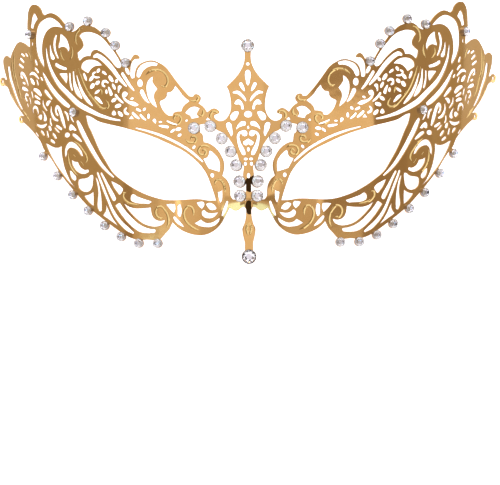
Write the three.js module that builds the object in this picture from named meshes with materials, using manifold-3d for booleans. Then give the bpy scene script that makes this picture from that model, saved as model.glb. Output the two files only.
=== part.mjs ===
// A half mask for a masked ball: one thin metal sheet cut to scroll openwork, bent round the face and set
// with 46 clear stones on round tabs. Millimetres. The pattern is drawn on the flat sheet before bending,
// one half of it, with s the way outward from the middle line and y the height; the other half mirrors it.
import * as THREE from 'three';
import { mergeVertices } from 'three/addons/utils/BufferGeometryUtils.js';
import Module from 'manifold-3d';

const wasm = await Module();
wasm.setup();

// Driving sizes
const SHEET_THICKNESS = 0.6;
const BEND_RADIUS = 124; // the sheet follows the face round an upright axis
const STRAIGHT_FROM = 108; // outward of this the ends of the sheet are left straight for the ribbons
const NOSE_RISE = 3; // how far the bridge of the nose stands forward of the bend
const NOSE_HALF_WIDTH = 8;
const NOSE_REACH = 16; // how far it runs up and down
const NOSE_MIDDLE = -15;
const CREST_STONE_WIDTH = 3.5;
const BROW_STONE_WIDTH = 4.3;
const BRIDGE_STONE_WIDTH = 4.4;
const RIM_STONE_WIDTH = 3.3;
const CROWN_STONE_WIDTH = 4.7;
const DROP_STONE_WIDTH = 5.3;
const STONE_HEIGHT = 1.7;
const STONE_TABLE = 0.58; // flat top of a stone, as a share of its width
const STONE_GAP = 0.3; // left between a stone and the sheet it is glued to
const TAB_MARGIN = 0.15; // how far a tab shows round its stone
const NECK_WIDTH = 2; // strip that joins a tab outside the outline to the sheet
const NECK_REACH = 0.6; // how far a neck runs on inside the outline
const LYING_TILT = 31.95; // degrees that the mask settles forward when it lies on its outer edges

// How finely the round shapes are cut into straight sides
const CURVE_STEP = 0.25; // spacing of the points that a smooth outline is first worked out with
const CURVE_SLACK = 0.36; // how far a kept outline may stray from that smooth one
const OVAL_SIDES = 24; // before the slack thins them
const STONE_SIDES = 6;
const TAB_SIDES = 8;
const CAP_STEPS = 2; // straight pieces in the quarter turn at a slot's round end

// The flat pattern is cut from a slab, and only the slab's top face goes on to be bent
const SLAB_HALF = 1;
const CUTTER_HALF = 2;

// Smooth outlines

// Points along the smooth curve through the given points. The slope at a point weighs its two neighbours
// by their distance, so uneven spacing doesn't bulge. Further values, such as a width, run along too.
function through(points, closed) {
  const count = points.length;
  const at = (i) => points[closed ? (i + count) % count : Math.min(Math.max(i, 0), count - 1)];
  const apart = (a, b) => Math.hypot(b[0] - a[0], b[1] - a[1]) || 1e-6;
  const slope = (i) => {
    const [before, here, after] = [at(i - 1), at(i), at(i + 1)];
    const a = apart(before, here);
    const b = apart(here, after);
    if (before === here || after === here) {
      return here.map((v, k) => (before === here ? (after[k] - v) / b : (v - before[k]) / a));
    }
    return here.map((v, k) => ((v - before[k]) / a * b + (after[k] - v) / b * a) / (a + b));
  };
  const curve = [];
  for (let i = 0; i < (closed ? count : count - 1); i += 1) {
    const [from, to] = [at(i), at(i + 1)];
    const length = apart(from, to);
    const [leave, arrive] = [slope(i), slope(i + 1)];
    const steps = Math.max(1, Math.ceil(length / CURVE_STEP));
    for (let j = 0; j < steps; j += 1) {
      const t = j / steps;
      const t2 = t * t;
      const t3 = t2 * t;
      curve.push(from.map((v, k) => (2 * t3 - 3 * t2 + 1) * v + (t3 - 2 * t2 + t) * length * leave[k]
        + (3 * t2 - 2 * t3) * to[k] + (t3 - t2) * length * arrive[k]));
    }
  }
  if (!closed) curve.push(points[count - 1]);
  return curve;
}

// A smooth path from the first point to the last. A point with a third value of 1 is a sharp corner.
function path(...points) {
  const outline = [];
  let run = [];
  points.forEach(([s, y, sharp], i) => {
    run.push([s, y]);
    if (run.length > 1 && (sharp === 1 || i === points.length - 1)) {
      outline.push(...through(run, false).slice(0, -1));
      run = [[s, y]];
    }
  });
  return [...outline, run[0]];
}

// A closed smooth outline, with sharp corners marked in the same way.
function loop(...points) {
  const first = points.findIndex((p) => p[2] === 1);
  if (first < 0) return through(points.map(([s, y]) => [s, y]), true);
  return path(...points.slice(first), ...points.slice(0, first + 1)).slice(0, -1);
}

// A curved slot: points of its middle line with the full width at each, and round ends.
function slot(...points) {
  const spine = through(points, false);
  const sideways = spine.map((p, i) => {
    const before = spine[Math.max(i - 1, 0)];
    const after = spine[Math.min(i + 1, spine.length - 1)];
    const length = Math.hypot(after[0] - before[0], after[1] - before[1]);
    return [-(after[1] - before[1]) / length, (after[0] - before[0]) / length];
  });
  const side = (way) => spine.map(([s, y, width], i) => [
    s + way * sideways[i][0] * width / 2, y + way * sideways[i][1] * width / 2]);
  const cap = (i, way) => {
    const [s, y, width] = spine[i];
    const start = Math.atan2(sideways[i][1], sideways[i][0]) + (way > 0 ? 0 : Math.PI);
    const turns = [];
    for (let j = 1; j < 2 * CAP_STEPS; j += 1) {
      const angle = start - Math.PI * j / (2 * CAP_STEPS);
      turns.push([s + Math.cos(angle) * width / 2, y + Math.sin(angle) * width / 2]);
    }
    return turns;
  };
  const last = spine.length - 1;
  return [...side(1), ...cap(last, 1), ...side(-1).reverse(), ...cap(0, -1)];
}

// An ellipse of full length and width, its length turned by degrees from the s direction.
function oval(s, y, length, width, turn = 0) {
  const points = [];
  for (let i = 0; i < OVAL_SIDES; i += 1) {
    const angle = 2 * Math.PI * i / OVAL_SIDES;
    const along = Math.cos(angle) * length / 2;
    const across = Math.sin(angle) * width / 2;
    const tilt = THREE.MathUtils.degToRad(turn);
    points.push([s + along * Math.cos(tilt) - across * Math.sin(tilt),
      y + along * Math.sin(tilt) + across * Math.cos(tilt)]);
  }
  return points;
}

const across = (outline) => outline.map(([s, y]) => [-s, y]);

// The half pattern

// From the top of the tower down the outside to the foot of the nose stem.
const OUTLINE = path(
  // tower and the first curl at its foot
  [0, 43, 1], [1.1, 41.6], [1.15, 39.2], [1.5, 36.8], [2.4, 34.6], [3.7, 32.6], [5.4, 30.6], [8.1, 28, 1],
  [7.3, 26.2], [6.8, 24.2], [6.5, 21.8], [6.5, 19.8], [6.9, 18.1], [7.7, 16.6], [9, 15.3], [10.5, 14.9],
  [11.8, 15.3], [12.8, 16.3], [12.8, 17.2, 1], [11.9, 17.5], [11.1, 17.8], [10.9, 18.5], [11.6, 19.3],
  [12.8, 19.8], [14.1, 19.5], [15.1, 18.7], [15.6, 18.3, 1],
  // brow loop, its curl and the band up to the leaf scroll
  [16.3, 19.5], [17.3, 20.7], [18.9, 21.8, 1], [18.2, 22.7], [18, 23.8], [18.5, 24.8], [19.5, 25.3],
  [20.5, 25.2], [21, 24.4, 1], [22.2, 24.5], [23.6, 25.8], [26.6, 29.3], [29.6, 33.3], [31, 35.2],
  [32.6, 36.7], [34.4, 37.7], [36.2, 38.5], [38.2, 38.7], [40.2, 38.3], [42, 37.6], [43.4, 36.4],
  [44.1, 34.9], [44.4, 33.2], [44.5, 32.2, 1], [45.6, 32, 1],
  // hooked tendril beside the sixth crest stone
  [46.2, 33], [46.2, 35], [46, 37], [45.3, 38.6], [44.2, 39.4], [42.9, 39.4], [42.2, 39.6, 1], [42.6, 40.6],
  [43.6, 41.2], [44.7, 41], [45.6, 40], [46.3, 38.8, 1],
  // top edge of the wing
  [48.2, 39.4], [50, 39.3, 1], [52, 42.4], [54.9, 46.3], [56.6, 48.3], [58.8, 50.5], [62.2, 52.8],
  [64.6, 53.5], [67.4, 53.9], [69, 53.3], [70.6, 52.1, 1], [72.4, 51.6], [74, 52], [76.2, 54.7],
  [78, 56.7], [79.8, 58.2], [81.6, 59.2], [83.6, 59.8], [85.4, 59.7], [87.1, 59.2, 1],
  // tip loop
  [88.5, 60.1], [89.1, 61.3], [90.1, 62.6], [91.7, 63.6], [93.5, 64], [95.2, 63.8], [96.5, 62.6],
  [97.3, 60.6], [97.6, 58.2], [97.8, 54.6, 1], [96.4, 53, 1], [96.3, 50, 1], [96.1, 48.4], [96.3, 47.1, 1],
  // outer feather and the two eyelets
  [98.4, 48.4], [100.6, 49.4], [103.2, 49.9], [105, 49.3], [106.5, 48], [108.9, 45.2], [109.4, 44.1, 1],
  [110.4, 44.2], [111.5, 44.9], [112.9, 45.1], [114.2, 44.6], [115, 43.3], [114.8, 41.6], [112.2, 35.3, 1],
  [113.6, 35.6], [115.4, 36.2], [117, 36.2], [117.8, 35.3], [117, 34.2], [115.2, 33.5], [111.8, 32.2],
  [109.6, 29], [107.4, 26.5], [100.2, 20, 1], [101.6, 20], [103.2, 20.1], [104, 19.2], [103.3, 18],
  [101.9, 17.3], [100.6, 17.4, 1],
  // lower rim
  [98.2, 16], [93, 12.1], [90, 9.2], [88.2, 6.2], [85.4, 3.6], [78.4, -4.6], [71.4, -11.4], [64.2, -17.9],
  [56.6, -23.2], [50.4, -27.2], [46.4, -29.3], [43, -30.1], [39.6, -30], [36.6, -30.2], [34.4, -29.8],
  [32.4, -27.8], [30.9, -26.3], [29.4, -23.4, 1],
  // scroll under the inner eye corner, nose bridge and stem
  [28.2, -24.7], [26.6, -26], [24.6, -27.1], [22.4, -27.9], [20, -28.4], [17.8, -28.5], [15.6, -28],
  [13.6, -27], [11.7, -25.5], [10.2, -23.7], [9, -21.5], [7.2, -18.1, 1], [5.9, -18.9], [4.8, -19.3],
  [3.6, -18.9], [2.4, -18], [1.6, -17.9], [1.1, -18.6], [1, -20.4], [1.2, -22.4], [1.7, -24.3],
  [2.4, -25.9], [2.4, -27.4], [1.6, -31.2], [1.1, -35.5], [0, -36.5],
);

const EYE = loop(
  [66.2, 18.6, 1], [64.3, 18.1], [60.3, 16], [56, 14.8], [50, 13.4], [45, 12], [40, 10.5], [35, 8.6],
  [30, 6.3], [25, 3.8], [21, 0.8], [18, -2.2], [16, -5.2], [14.6, -8.6], [13.4, -12], [12.4, -15.3, 1],
  [15, -15.3], [19, -14.7], [24, -14.8], [29, -15], [33, -14.7], [37, -13.7], [42, -11.8], [46, -9.7],
  [50, -7.1], [54, -4], [57, 0.2], [60, 4.8], [63.6, 12], [65.4, 15.4],
);

const EYE_LOOP = [
  // gap between the eye loop and the tower
  loop([16.8, 13.9, 1], [18.6, 13.6, 1], [18.3, 12.2], [18.4, 10.9], [17.5, 10], [17.2, 8.6], [17, 7, 1],
    [15.2, 6.6], [13.2, 5.4], [11.4, 3.6], [10, 1.2], [9.2, -1], [9.2, -3.2], [9.9, -5.9, 1],
    [8.6, -7], [7.4, -8.9], [6.9, -11.4], [6.8, -13.6], [6, -14.9, 1], [3.4, -15.3], [1, -15.4, 1],
    [0.95, -8, 1], [1.9, -6.4], [1.9, -2.2], [3.4, -0.2], [4.2, 2], [5.4, 5.2], [7, 7.6], [9, 10.2],
    [11.4, 11.2], [13.4, 12.6], [15.4, 13.5]),
  loop([14.8, 3.6], [12.6, 2.1], [11.1, -0.2], [10.8, -2.4], [11, -4.4, 1], [12.6, -3.9], [14.4, -3.3],
    [15.2, -3, 1], [16.2, -1.2], [17.2, 0.6, 1], [15.8, 1.1], [15.1, 2.2]),
  loop([11.7, -12.1, 1], [10.7, -11.9], [10, -11.3, 1], [9.9, -13], [10.2, -15.4], [10.8, -16.3, 1],
    [11.4, -14.4]),
  slot([8.1, -16, 0.9], [8.6, -17.6, 1.2], [9.4, -19.6, 1.2], [10, -20.9, 0.6]),
  loop([19.9, -16, 1], [18.6, -15.7], [17.3, -15.8], [16.9, -16.6], [17.1, -17.4], [17.9, -18.4, 1],
    [19.2, -17.2]),
  loop([16.2, -16.7], [15.2, -16.2], [13.9, -16.4], [12.8, -17.3], [12.3, -18.4], [13.4, -18.9],
    [14.8, -18.7], [15.6, -17.8]),
  loop([17, -18.9], [17.9, -19.5], [17.8, -20.7], [16.9, -21.6], [15.2, -22], [13.4, -21.6],
    [11.6, -19.8, 1], [13.2, -20.1], [15, -20.1], [16.2, -19.6]),
  loop([20.7, -23.9, 1], [19.5, -23.2], [18.3, -22.5, 1], [17.2, -23.4], [15.6, -23.9], [13.9, -23.6],
    [12.4, -22.8], [11, -21.9, 1], [11.4, -23.2], [12.8, -24.6], [14.6, -25.3], [16.8, -25.3],
    [18.8, -24.9]),
  loop([31.9, -16.6, 1], [30, -16.4], [28.4, -16.5, 1], [28.2, -18.2], [28.8, -19.9, 1], [30.3, -18.5]),
  loop([27.2, -16.9], [26.3, -16.6], [25.9, -17.6], [25.9, -20.4], [26.4, -21.4], [27.2, -20.8],
    [27.4, -18.8]),
  slot([28.6, -21.7, 1], [27.8, -22.7, 1.3], [26.7, -23.8, 1.2], [25.2, -25, 0.4]),
];

const TOWER_MIDDLE = [
  loop([0, 34.3], [0.8, 33.8], [1.1, 32.6], [0.8, 30.4], [0.3, 28.6], [0, 28.3],
    [-0.3, 28.6], [-0.8, 30.4], [-1.1, 32.6], [-0.8, 33.8]),
  oval(0, 17.4, 3, 2.5),
  loop([0, 8.1], [1, 7.5], [2, 6.8], [1.6, 5.8], [0.8, 5.5], [0, 6], [-0.8, 5.5], [-1.6, 5.8], [-2, 6.8],
    [-1, 7.5]),
];

const TOWER = [
  slot([5.4, 25.7, 0.7], [4.1, 25.8, 1.2], [2.6, 24.8, 1.1], [1.4, 23.4, 0.9], [0.9, 22.6, 0.5]),
  loop([5.2, 21.4, 1], [4.7, 22.5], [3.7, 23.1], [2.5, 22.3], [1.8, 20.8], [1.8, 19.2], [2.4, 19.3],
    [2.7, 20.6], [3.4, 21.2], [4.3, 21.1]),
  loop([3.5, 18.3, 1], [4.5, 18.6], [6.8, 16.4], [6.5, 15.4], [5.2, 15.1], [4.3, 16.2], [3.7, 17.3]),
  loop([8.3, 14], [7.4, 14.4], [6.5, 13.8], [6.1, 12], [6, 9.6], [6.3, 9.1], [7.2, 10.4], [8.2, 12.6]),
  loop([1, 14.5], [2.2, 14.8], [3.5, 13.9], [4.3, 12.7], [4.6, 11.6, 1], [3.4, 12.5], [2.2, 12.9],
    [1, 13.3]),
  loop([0.4, 10.6], [1.2, 11.3], [2.4, 11.2], [3.6, 10.6], [4.3, 9.2], [4.2, 7.4], [3.8, 5.4], [3, 3.4],
    [1.9, 1.8], [1.2, 1.9], [1.1, 2.8], [1.6, 4.2], [2.6, 6], [3.2, 7.8], [3.3, 9.4], [2.7, 10.1],
    [2.2, 9.4], [1.4, 9], [0.7, 9.2]),
];

const BROW = [
  loop([24, 18.3], [23.2, 19.3], [21.8, 20.3], [20.2, 20.5], [18.5, 19.8, 1], [19.3, 18.6], [19.6, 17.6],
    [18.8, 16.5, 1], [20.2, 16.2], [21.8, 16.2], [22.1, 17.1], [23.2, 17.7]),
  loop([28, 28.7, 1], [28.6, 27.4], [29.6, 26.4], [31.2, 26], [31.4, 24.7], [32.3, 23.7], [34.2, 22.7],
    [33.8, 21.2], [33, 19.6], [31.8, 18.2], [30.4, 17.3], [29.1, 17.3, 1], [28.7, 18.3], [27.4, 18.8],
    [25.6, 18.9, 1], [25.2, 20.2], [24.2, 21.4], [22.4, 22.7, 1], [23.6, 23.6], [25, 24.9],
    [26.4, 26.8]),
  slot([44, 12.9, 0.4], [39, 11.6, 0.7], [34, 9.9, 0.9], [29.6, 8, 0.9], [26, 6.1, 0.9], [22, 3.5, 0.9],
    [19.4, 1.3, 0.8], [17.5, -0.4, 0.5]),
];

const LEAF_SCROLL = [
  loop([34.9, 37.4, 1], [36.4, 37.9], [38.2, 38.1], [40.2, 37.7], [42, 36.8], [43.1, 35.4], [43.6, 34],
    [43.5, 32.7], [42.5, 32.3], [41.8, 33.2], [41.2, 34.4], [40.2, 35.4], [38.8, 36.2], [37, 36.6],
    [35.2, 36.7]),
  oval(42.2, 30.1, 2.9, 2.3, 80),
  slot([41.5, 26.8, 1.7], [40.5, 24.9, 1.5], [39.5, 23.4, 1], [38.6, 22.5, 0.5]),
  loop([37, 32.3], [38.2, 31.7], [39.2, 30.4], [39.6, 28.5], [39.4, 26.3], [38.8, 24.2], [37.6, 22.3],
    [35.3, 20.4, 1], [35.8, 22.2], [36.5, 24.2], [36.4, 25.8], [35.1, 27.7, 1], [36.4, 29.3],
    [37.1, 30.6], [37, 31.6]),
  slot([49.6, 34, 1.2], [48, 31.6, 1.2], [46.4, 29.3, 1], [44.8, 27.5, 0.6]),
];

const WING_TOP = [
  // long slot and the openings below it
  slot([62.1, 41.3, 1.1], [61, 41.6, 1.5], [59, 40.7, 1.7], [56.8, 39, 1.8], [54, 36.2, 1.7],
    [51.4, 32.9, 1.5], [49.4, 30.6, 1.1], [48, 29.2, 0.6]),
  loop([68.3, 37.3], [68, 38.6], [66.6, 39.7], [64.5, 40.1], [62, 39.8], [60, 38.9], [58.6, 37.7, 1],
    [60.4, 37.7], [62.2, 37.4], [63.8, 36.4], [65, 35, 1], [66.6, 35.9]),
  loop([69.1, 49.7, 1], [68, 50.6], [66.4, 50.9], [64.6, 50.9], [62.5, 50.4], [60.4, 49.6], [58.4, 48.3],
    [55.6, 45.4], [52.6, 41.8], [50.8, 38.9], [50.1, 37], [50.8, 36.3], [51.8, 36.5], [53, 37.5],
    [54.2, 38.9], [57, 41.6], [59.4, 43.2], [61.4, 43.9], [62.9, 43.5], [63.7, 42.4], [63.9, 41.6, 1],
    [65.6, 41.7], [67.2, 41.3], [69, 40, 1], [69.8, 41.4], [70.1, 43.2, 1], [68.4, 44.3], [67.3, 45.4],
    [67.5, 47.4], [68.4, 48.9]),
];

const CREST = [
  loop([93.4, 60.7, 1], [94.6, 59.2], [95.3, 57], [95.7, 55, 1], [94, 54.4, 1], [93.4, 56],
    [91.4, 58.1, 1], [92.2, 59.4]),
  loop([77.3, 53.4, 1], [79.8, 55.8], [82, 57.2], [84, 57.9], [86, 57.9], [88.2, 57.3], [90.2, 56.3],
    [91.5, 54.6], [92.3, 52.2], [92.5, 49.6], [92.3, 46.4], [91.4, 43.6], [90, 41.2], [87.6, 38.3, 1],
    [87.8, 40.5], [88.7, 43.4], [88.9, 46.4], [88.5, 48.8], [87.6, 51], [86, 52.9], [83.8, 54],
    [81.6, 54.3], [79.4, 54]),
  loop([78.8, 51.2, 1], [77, 50.2], [75.6, 48.9], [74.6, 47], [74.1, 45.2], [74.6, 43.4, 1],
    [75.4, 45.2], [76.8, 46], [78.4, 46], [79.9, 45.5, 1], [79.8, 46.6], [79.2, 48.2]),
  slot([81, 50.5, 0.9], [81.6, 49.2, 1.3], [82, 47.2, 1.3], [81.6, 44.8, 1.1], [80.7, 42.9, 0.8],
    [79.9, 41.7, 0.5]),
  slot([84.3, 47.2, 0.5], [84.2, 45.6, 0.9], [83.8, 43.8, 1.4], [83.1, 42.4, 1.8], [82.5, 41.9, 1.4]),
  slot([86.6, 46.2, 0.5], [86.3, 44, 0.9], [85.8, 41.5, 1.2], [84.8, 39, 1.4], [83.4, 36.4, 1.5],
    [81.4, 33.5, 1.6], [79, 30.8, 1.8], [76, 28.3, 1.9], [73, 25.8, 2], [70, 23.4, 2], [66.6, 21.5, 1.9],
    [63, 19.8, 1.6], [60, 18.5, 1.3], [56.6, 17.4, 1], [53.6, 16.6, 0.8], [50.8, 16.1, 0.5]),
  slot([88.5, 36.4, 0.6], [87.5, 35, 1.1], [86, 32.8, 1.5], [83.6, 29.9, 1.8], [81, 27.3, 1.9],
    [78.4, 25.1, 1.9], [76.2, 23.5, 1.8], [74.7, 22.6, 1.4]),
  slot([81.1, 39.3, 1.2], [79.5, 38.4, 1.3], [77.6, 37.7, 1.2], [75.9, 37.3, 0.9]),
];

const FAN = [
  loop([79.5, 35.6, 1], [77.4, 35.6], [75.3, 35.4, 1], [75.2, 33.2], [75.6, 31.4, 1], [77.4, 33.4]),
  slot([74, 35.2, 0.8], [73.9, 32.5, 0.9], [73.4, 30.2, 1], [72.8, 28.8, 0.7]),
  slot([72.2, 35.8, 0.7], [72, 33, 1], [71.3, 30, 1.8], [70, 27.6, 1.9], [68.9, 26.2, 1.2],
    [68.1, 25.3, 0.5]),
  slot([70.5, 34.2, 0.5], [69.8, 32, 0.8], [68.8, 29.4, 1.2], [67, 26.3, 1.4], [65, 24, 1.3],
    [63.2, 22.3, 0.5]),
  slot([56, 30.9, 0.7], [57.1, 31.5, 0.9], [58.2, 31.2, 1.1], [58.3, 30.1, 1], [57.5, 29.5, 0.7]),
  slot([55.7, 28.9, 0.7], [55.2, 27.9, 1.2], [54.6, 26.4, 1.4]),
  slot([61.7, 25.4, 0.8], [60.4, 24.6, 1.3], [59.2, 23.4, 0.9], [58.6, 22.9, 0.5]),
  slot([52.6, 25.9, 0.9], [51.4, 24.5, 0.9], [50.2, 23.4, 0.8], [49.4, 22.8, 0.5]),
  // comma with its tail
  loop([49.8, 26.2], [49.2, 27], [48.2, 27], [47.4, 26.3], [47.8, 25.4], [48.7, 24.9, 1], [47.8, 24],
    [46.4, 23.3], [44.6, 23], [42.7, 21.8, 1], [44.2, 21.3], [46, 21.9], [47.8, 22.9], [49.2, 24.2]),
];

const FEATHER = [
  slot([111, 40, 1.6], [110.5, 38.2, 1.9], [109.7, 35.6, 1.8], [108.2, 32.8, 1.7], [106.6, 30, 1.5],
    [104.9, 27, 1.4], [103, 24.4, 1.1], [101.5, 22.8, 0.7]),
  slot([101, 35.2, 0.6], [102.2, 36, 1.1], [102.2, 37.2, 1.3], [100.9, 36.9, 1.3], [99.5, 35.6, 1.2],
    [98.3, 33.8, 1], [97.6, 32.2, 0.8]),
  slot([96.5, 36.3, 0.7], [95.3, 36.7, 1.1], [93.8, 36.5, 1.1], [92.3, 35.5, 0.9], [91, 34.3, 0.6]),
  slot([96, 34.5, 1], [94.8, 33.4, 1.7], [93.8, 32.5, 1.1]),
  slot([101.4, 31.3, 1], [100.2, 30.9, 1.5], [98.6, 30.4, 1], [97.6, 29.9, 0.5]),
  slot([97.6, 28.1, 0.8], [98.9, 28.6, 1], [99.5, 27.7, 1.1], [98.9, 26.6, 1], [98.2, 25.9, 0.7]),
  slot([94, 30.2, 1], [92.6, 29.8, 1.5], [91, 28.8, 1.8], [89.8, 27.8, 1.2]),
  slot([93.4, 25.2, 1], [92, 25, 1.4], [90.5, 24.4, 0.9]),
  slot([94.4, 20.9, 0.6], [94.6, 22.2, 0.9], [93.6, 23.2, 1.1], [92.4, 22.8, 1.1], [91.6, 21.4, 1],
    [91.4, 20.6, 0.8]),
  slot([87.2, 29.2, 1.2], [86.2, 28.3, 1.4], [84.8, 27, 1.1], [83.6, 25.9, 0.7]),
  loop([87, 24], [86.4, 25], [84.8, 25.3], [83.9, 25, 1], [85, 24], [85.8, 23.1], [86.4, 23.2]),
  slot([88.6, 25.3, 0.7], [88.5, 24, 0.9], [87.6, 22.7, 0.8], [86.3, 21.4, 0.5]),
  loop([89.5, 22, 1], [88.4, 21.3], [87.3, 20.1], [86.5, 18.8], [86.4, 17.7], [87.3, 17.2], [88.4, 17.6],
    [88.2, 18.8], [88.5, 20.3]),
  slot([92.1, 16.1, 0.6], [90.8, 15.5, 1], [89, 15.2, 1.3], [87.5, 15.5, 1.1], [86.6, 16, 0.6]),
];

const SCROLL_HEART = [
  slot([80.4, 19.3, 0.8], [81.2, 20.2, 1], [81.5, 21.5, 1.2], [80.8, 22.5, 1.5], [79.8, 21.8, 1.6],
    [78.8, 19.8, 1.7], [77.9, 17.4, 1.8], [77.1, 15.4, 1.3], [76.6, 14.3, 0.8]),
  slot([83.9, 22.7, 0.6], [84, 21, 1], [83.2, 19.2, 1.2], [81.9, 17.8, 1.1], [80.4, 17.2, 0.7]),
  slot([76.7, 20.5, 0.6], [75.7, 19.6, 1], [75.2, 18.2, 1.1], [74.9, 17.1, 0.7]),
  loop([74.5, 13.4], [74.4, 14.8], [73.7, 15.4], [72.6, 14.9], [70.7, 13, 1], [71.8, 12.8], [72.7, 13.3],
    [73.7, 12.9]),
  oval(75.5, 11.3, 2.7, 1.9),
  slot([72.4, 11.3, 1], [71.3, 10.7, 1.3], [69.8, 9.6, 1.2], [68.5, 8.6, 0.6]),
  slot([70.2, 16.2, 1.3], [69.1, 14.3, 1.9], [67.9, 12.1, 2], [66, 9, 1.9], [63.8, 5.6, 1.8],
    [61.3, 2, 1.6], [58.6, -1.4, 1.3], [56, -3.9, 0.9], [53.8, -5.7, 0.5]),
];

const LOWER_BAND = [
  loop([87.3, 8.6, 1], [85.4, 7.9], [83.4, 7], [81.5, 6.5], [79.9, 6.5], [78.5, 7], [78.4, 5], [77.9, 2],
    [77, -1.2], [75.4, -4.6], [73.6, -7.4], [70.9, -10.1, 1], [74.5, -7.3], [78.3, -3.5], [82.2, 0.8],
    [85.4, 5.2]),
  loop([76.5, 2.6], [76.9, 4.4], [76.4, 6.6], [75.2, 8.1], [73.4, 8.5], [71.5, 7.8], [69.8, 6.3],
    [68.4, 4.6], [67.6, 2.6, 1], [68.5, 3], [69.6, 4.4], [71, 5.6], [72.6, 6.2], [74.4, 6.2],
    [75.5, 5.2], [75.8, 3.6]),
  loop([73.3, 1.6, 1], [71.8, 0.7], [70.2, 0.4], [69.4, -1], [68, -2.2], [66.6, -2.7], [65.2, -2.6],
    [65, -3.3], [66, -3.9], [67.4, -4.2], [69, -3.9], [70.8, -3], [72.4, -1.3], [73.2, 0.2]),
  loop([74.4, -2.8, 1], [73.8, -2.8], [72.4, -4], [71.2, -5.2], [71.1, -6.2], [71.7, -6.8, 1],
    [73, -6.1], [74.1, -4.6]),
  loop([63.3, -4.7], [64.3, -4.8], [65.4, -5.6], [67, -6], [68.8, -6.1], [70, -6.6], [70.2, -7.8],
    [69.8, -9.4], [68.5, -10.6], [66.6, -11.2], [64.8, -10.9], [63.6, -9.6], [63.1, -7.4]),
  loop([67.3, -12.7, 1], [65.6, -12.5], [64.2, -12], [62.9, -11.2, 1], [62.8, -13.4], [62.8, -16.8, 1],
    [64.4, -15.7], [66, -14.2]),
  slot([61.6, -5.9, 0.4], [61, -7.4, 0.8], [60.5, -9.4, 0.9], [60.1, -12, 1.2], [60.1, -14.6, 1.8],
    [60.1, -17, 2], [59.8, -18.2, 1.4]),
  slot([60.9, -4, 0.8], [60, -6.2, 1], [58.8, -8.8, 1.1], [57.6, -11.6, 1.1], [56.2, -14.6, 1.1],
    [54.6, -18, 1.2], [52.5, -21.3, 1.4], [49.8, -24.2, 1.5], [47.6, -26, 1.5], [45.5, -27.3, 0.7]),
  slot([59.2, -4.2, 0.8], [58, -6.2, 1], [56.8, -8.4, 1.2], [55.4, -11, 1.6], [54.2, -13, 1.8],
    [53.6, -14.1, 1.7]),
  loop([57.6, -15.8, 1], [57.1, -17.8], [57.6, -19.2], [58.6, -20.4, 1], [56.4, -21.8], [51.8, -24.7, 1],
    [53.6, -22.6], [55.4, -19.8], [56.6, -17.4]),
  loop([54.9, -7.2, 1], [52.6, -8.2], [50.6, -9.4], [49.7, -10.5], [50.3, -11.8], [51, -12.5],
    [52.4, -11.2], [53.9, -9.2]),
  loop([45.6, -12.5], [43.6, -13.4], [41.4, -14.2], [39.2, -14.9], [37.8, -15.5], [38.6, -16.1],
    [40.8, -16.1], [43, -16], [45.2, -15.5], [46.3, -14.8], [46.3, -13.2]),
  loop([49.4, -15.9, 1], [47.5, -17.1], [45, -17.9], [42, -18], [38.1, -17.7, 1], [37.9, -19.6],
    [37.2, -21.4], [35.7, -22.6], [34, -22.9], [32.4, -22.5, 1], [33, -23.8], [34.6, -24.7], [36.6, -25],
    [38.6, -24.7], [41, -23.9], [43.4, -22.3], [45.8, -20.2], [48, -17.8]),
  loop([53, -16.8, 1], [52.1, -16.1], [51.2, -15.8], [50, -17.2], [48.4, -19.1], [46, -21.5],
    [43.4, -23.7], [40.6, -25.2], [38.2, -25.9], [36.2, -26.4], [36.4, -27.1], [38, -27.4],
    [40.4, -27.4], [42.6, -27], [45, -25.6], [47.6, -23.4], [50, -20.8]),
];

const PAIRED_OPENINGS = [EYE, ...EYE_LOOP, ...TOWER, ...BROW, ...LEAF_SCROLL, ...WING_TOP, ...CREST, ...FAN,
  ...FEATHER, ...SCROLL_HEART, ...LOWER_BAND];

// Stones: places on the half pattern

const CREST_STONES = [[95.6, 52.2], [73.5, 53.6], [64.7, 55.1], [56.5, 50.1], [52.4, 45], [48, 38.1],
  [71.8, 20]];
const BROW_STONES = [[20.6, 12.3], [14.4, 12.9], [10.1, 8.2], [6.7, 3.2], [4.5, -2.1]];
const BRIDGE_STONES = [[3.2, -8.3], [2.95, -13.7]];
const RIM_STONES = [[88, 3.4], [80.2, -4.6], [72.5, -12.2], [65, -18.5], [57.5, -24.4], [50.3, -28.7],
  [42.9, -31.3], [35.2, -31.4]];
const CROWN_STONE = [0, 43.4];
const DROP_STONE = [0, -36.7];

const STONE_GROUPS = [
  ['crest_stone', CREST_STONES, CREST_STONE_WIDTH],
  ['brow_stone', BROW_STONES, BROW_STONE_WIDTH],
  ['bridge_stone', BRIDGE_STONES, BRIDGE_STONE_WIDTH],
  ['rim_stone', RIM_STONES, RIM_STONE_WIDTH],
];

// the seventh crest stone sits within the sheet, so its tab needs no neck
const NECKED_STONES = [...CREST_STONES.slice(0, -1), ...RIM_STONES];

// Ribbon eyelets: place, width over the ring and width of its hole
const EYELETS = [[115.6, 34.8, 3.6, 1.5], [102.2, 18.7, 3.2, 1.3]];

// The flat sheet

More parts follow.
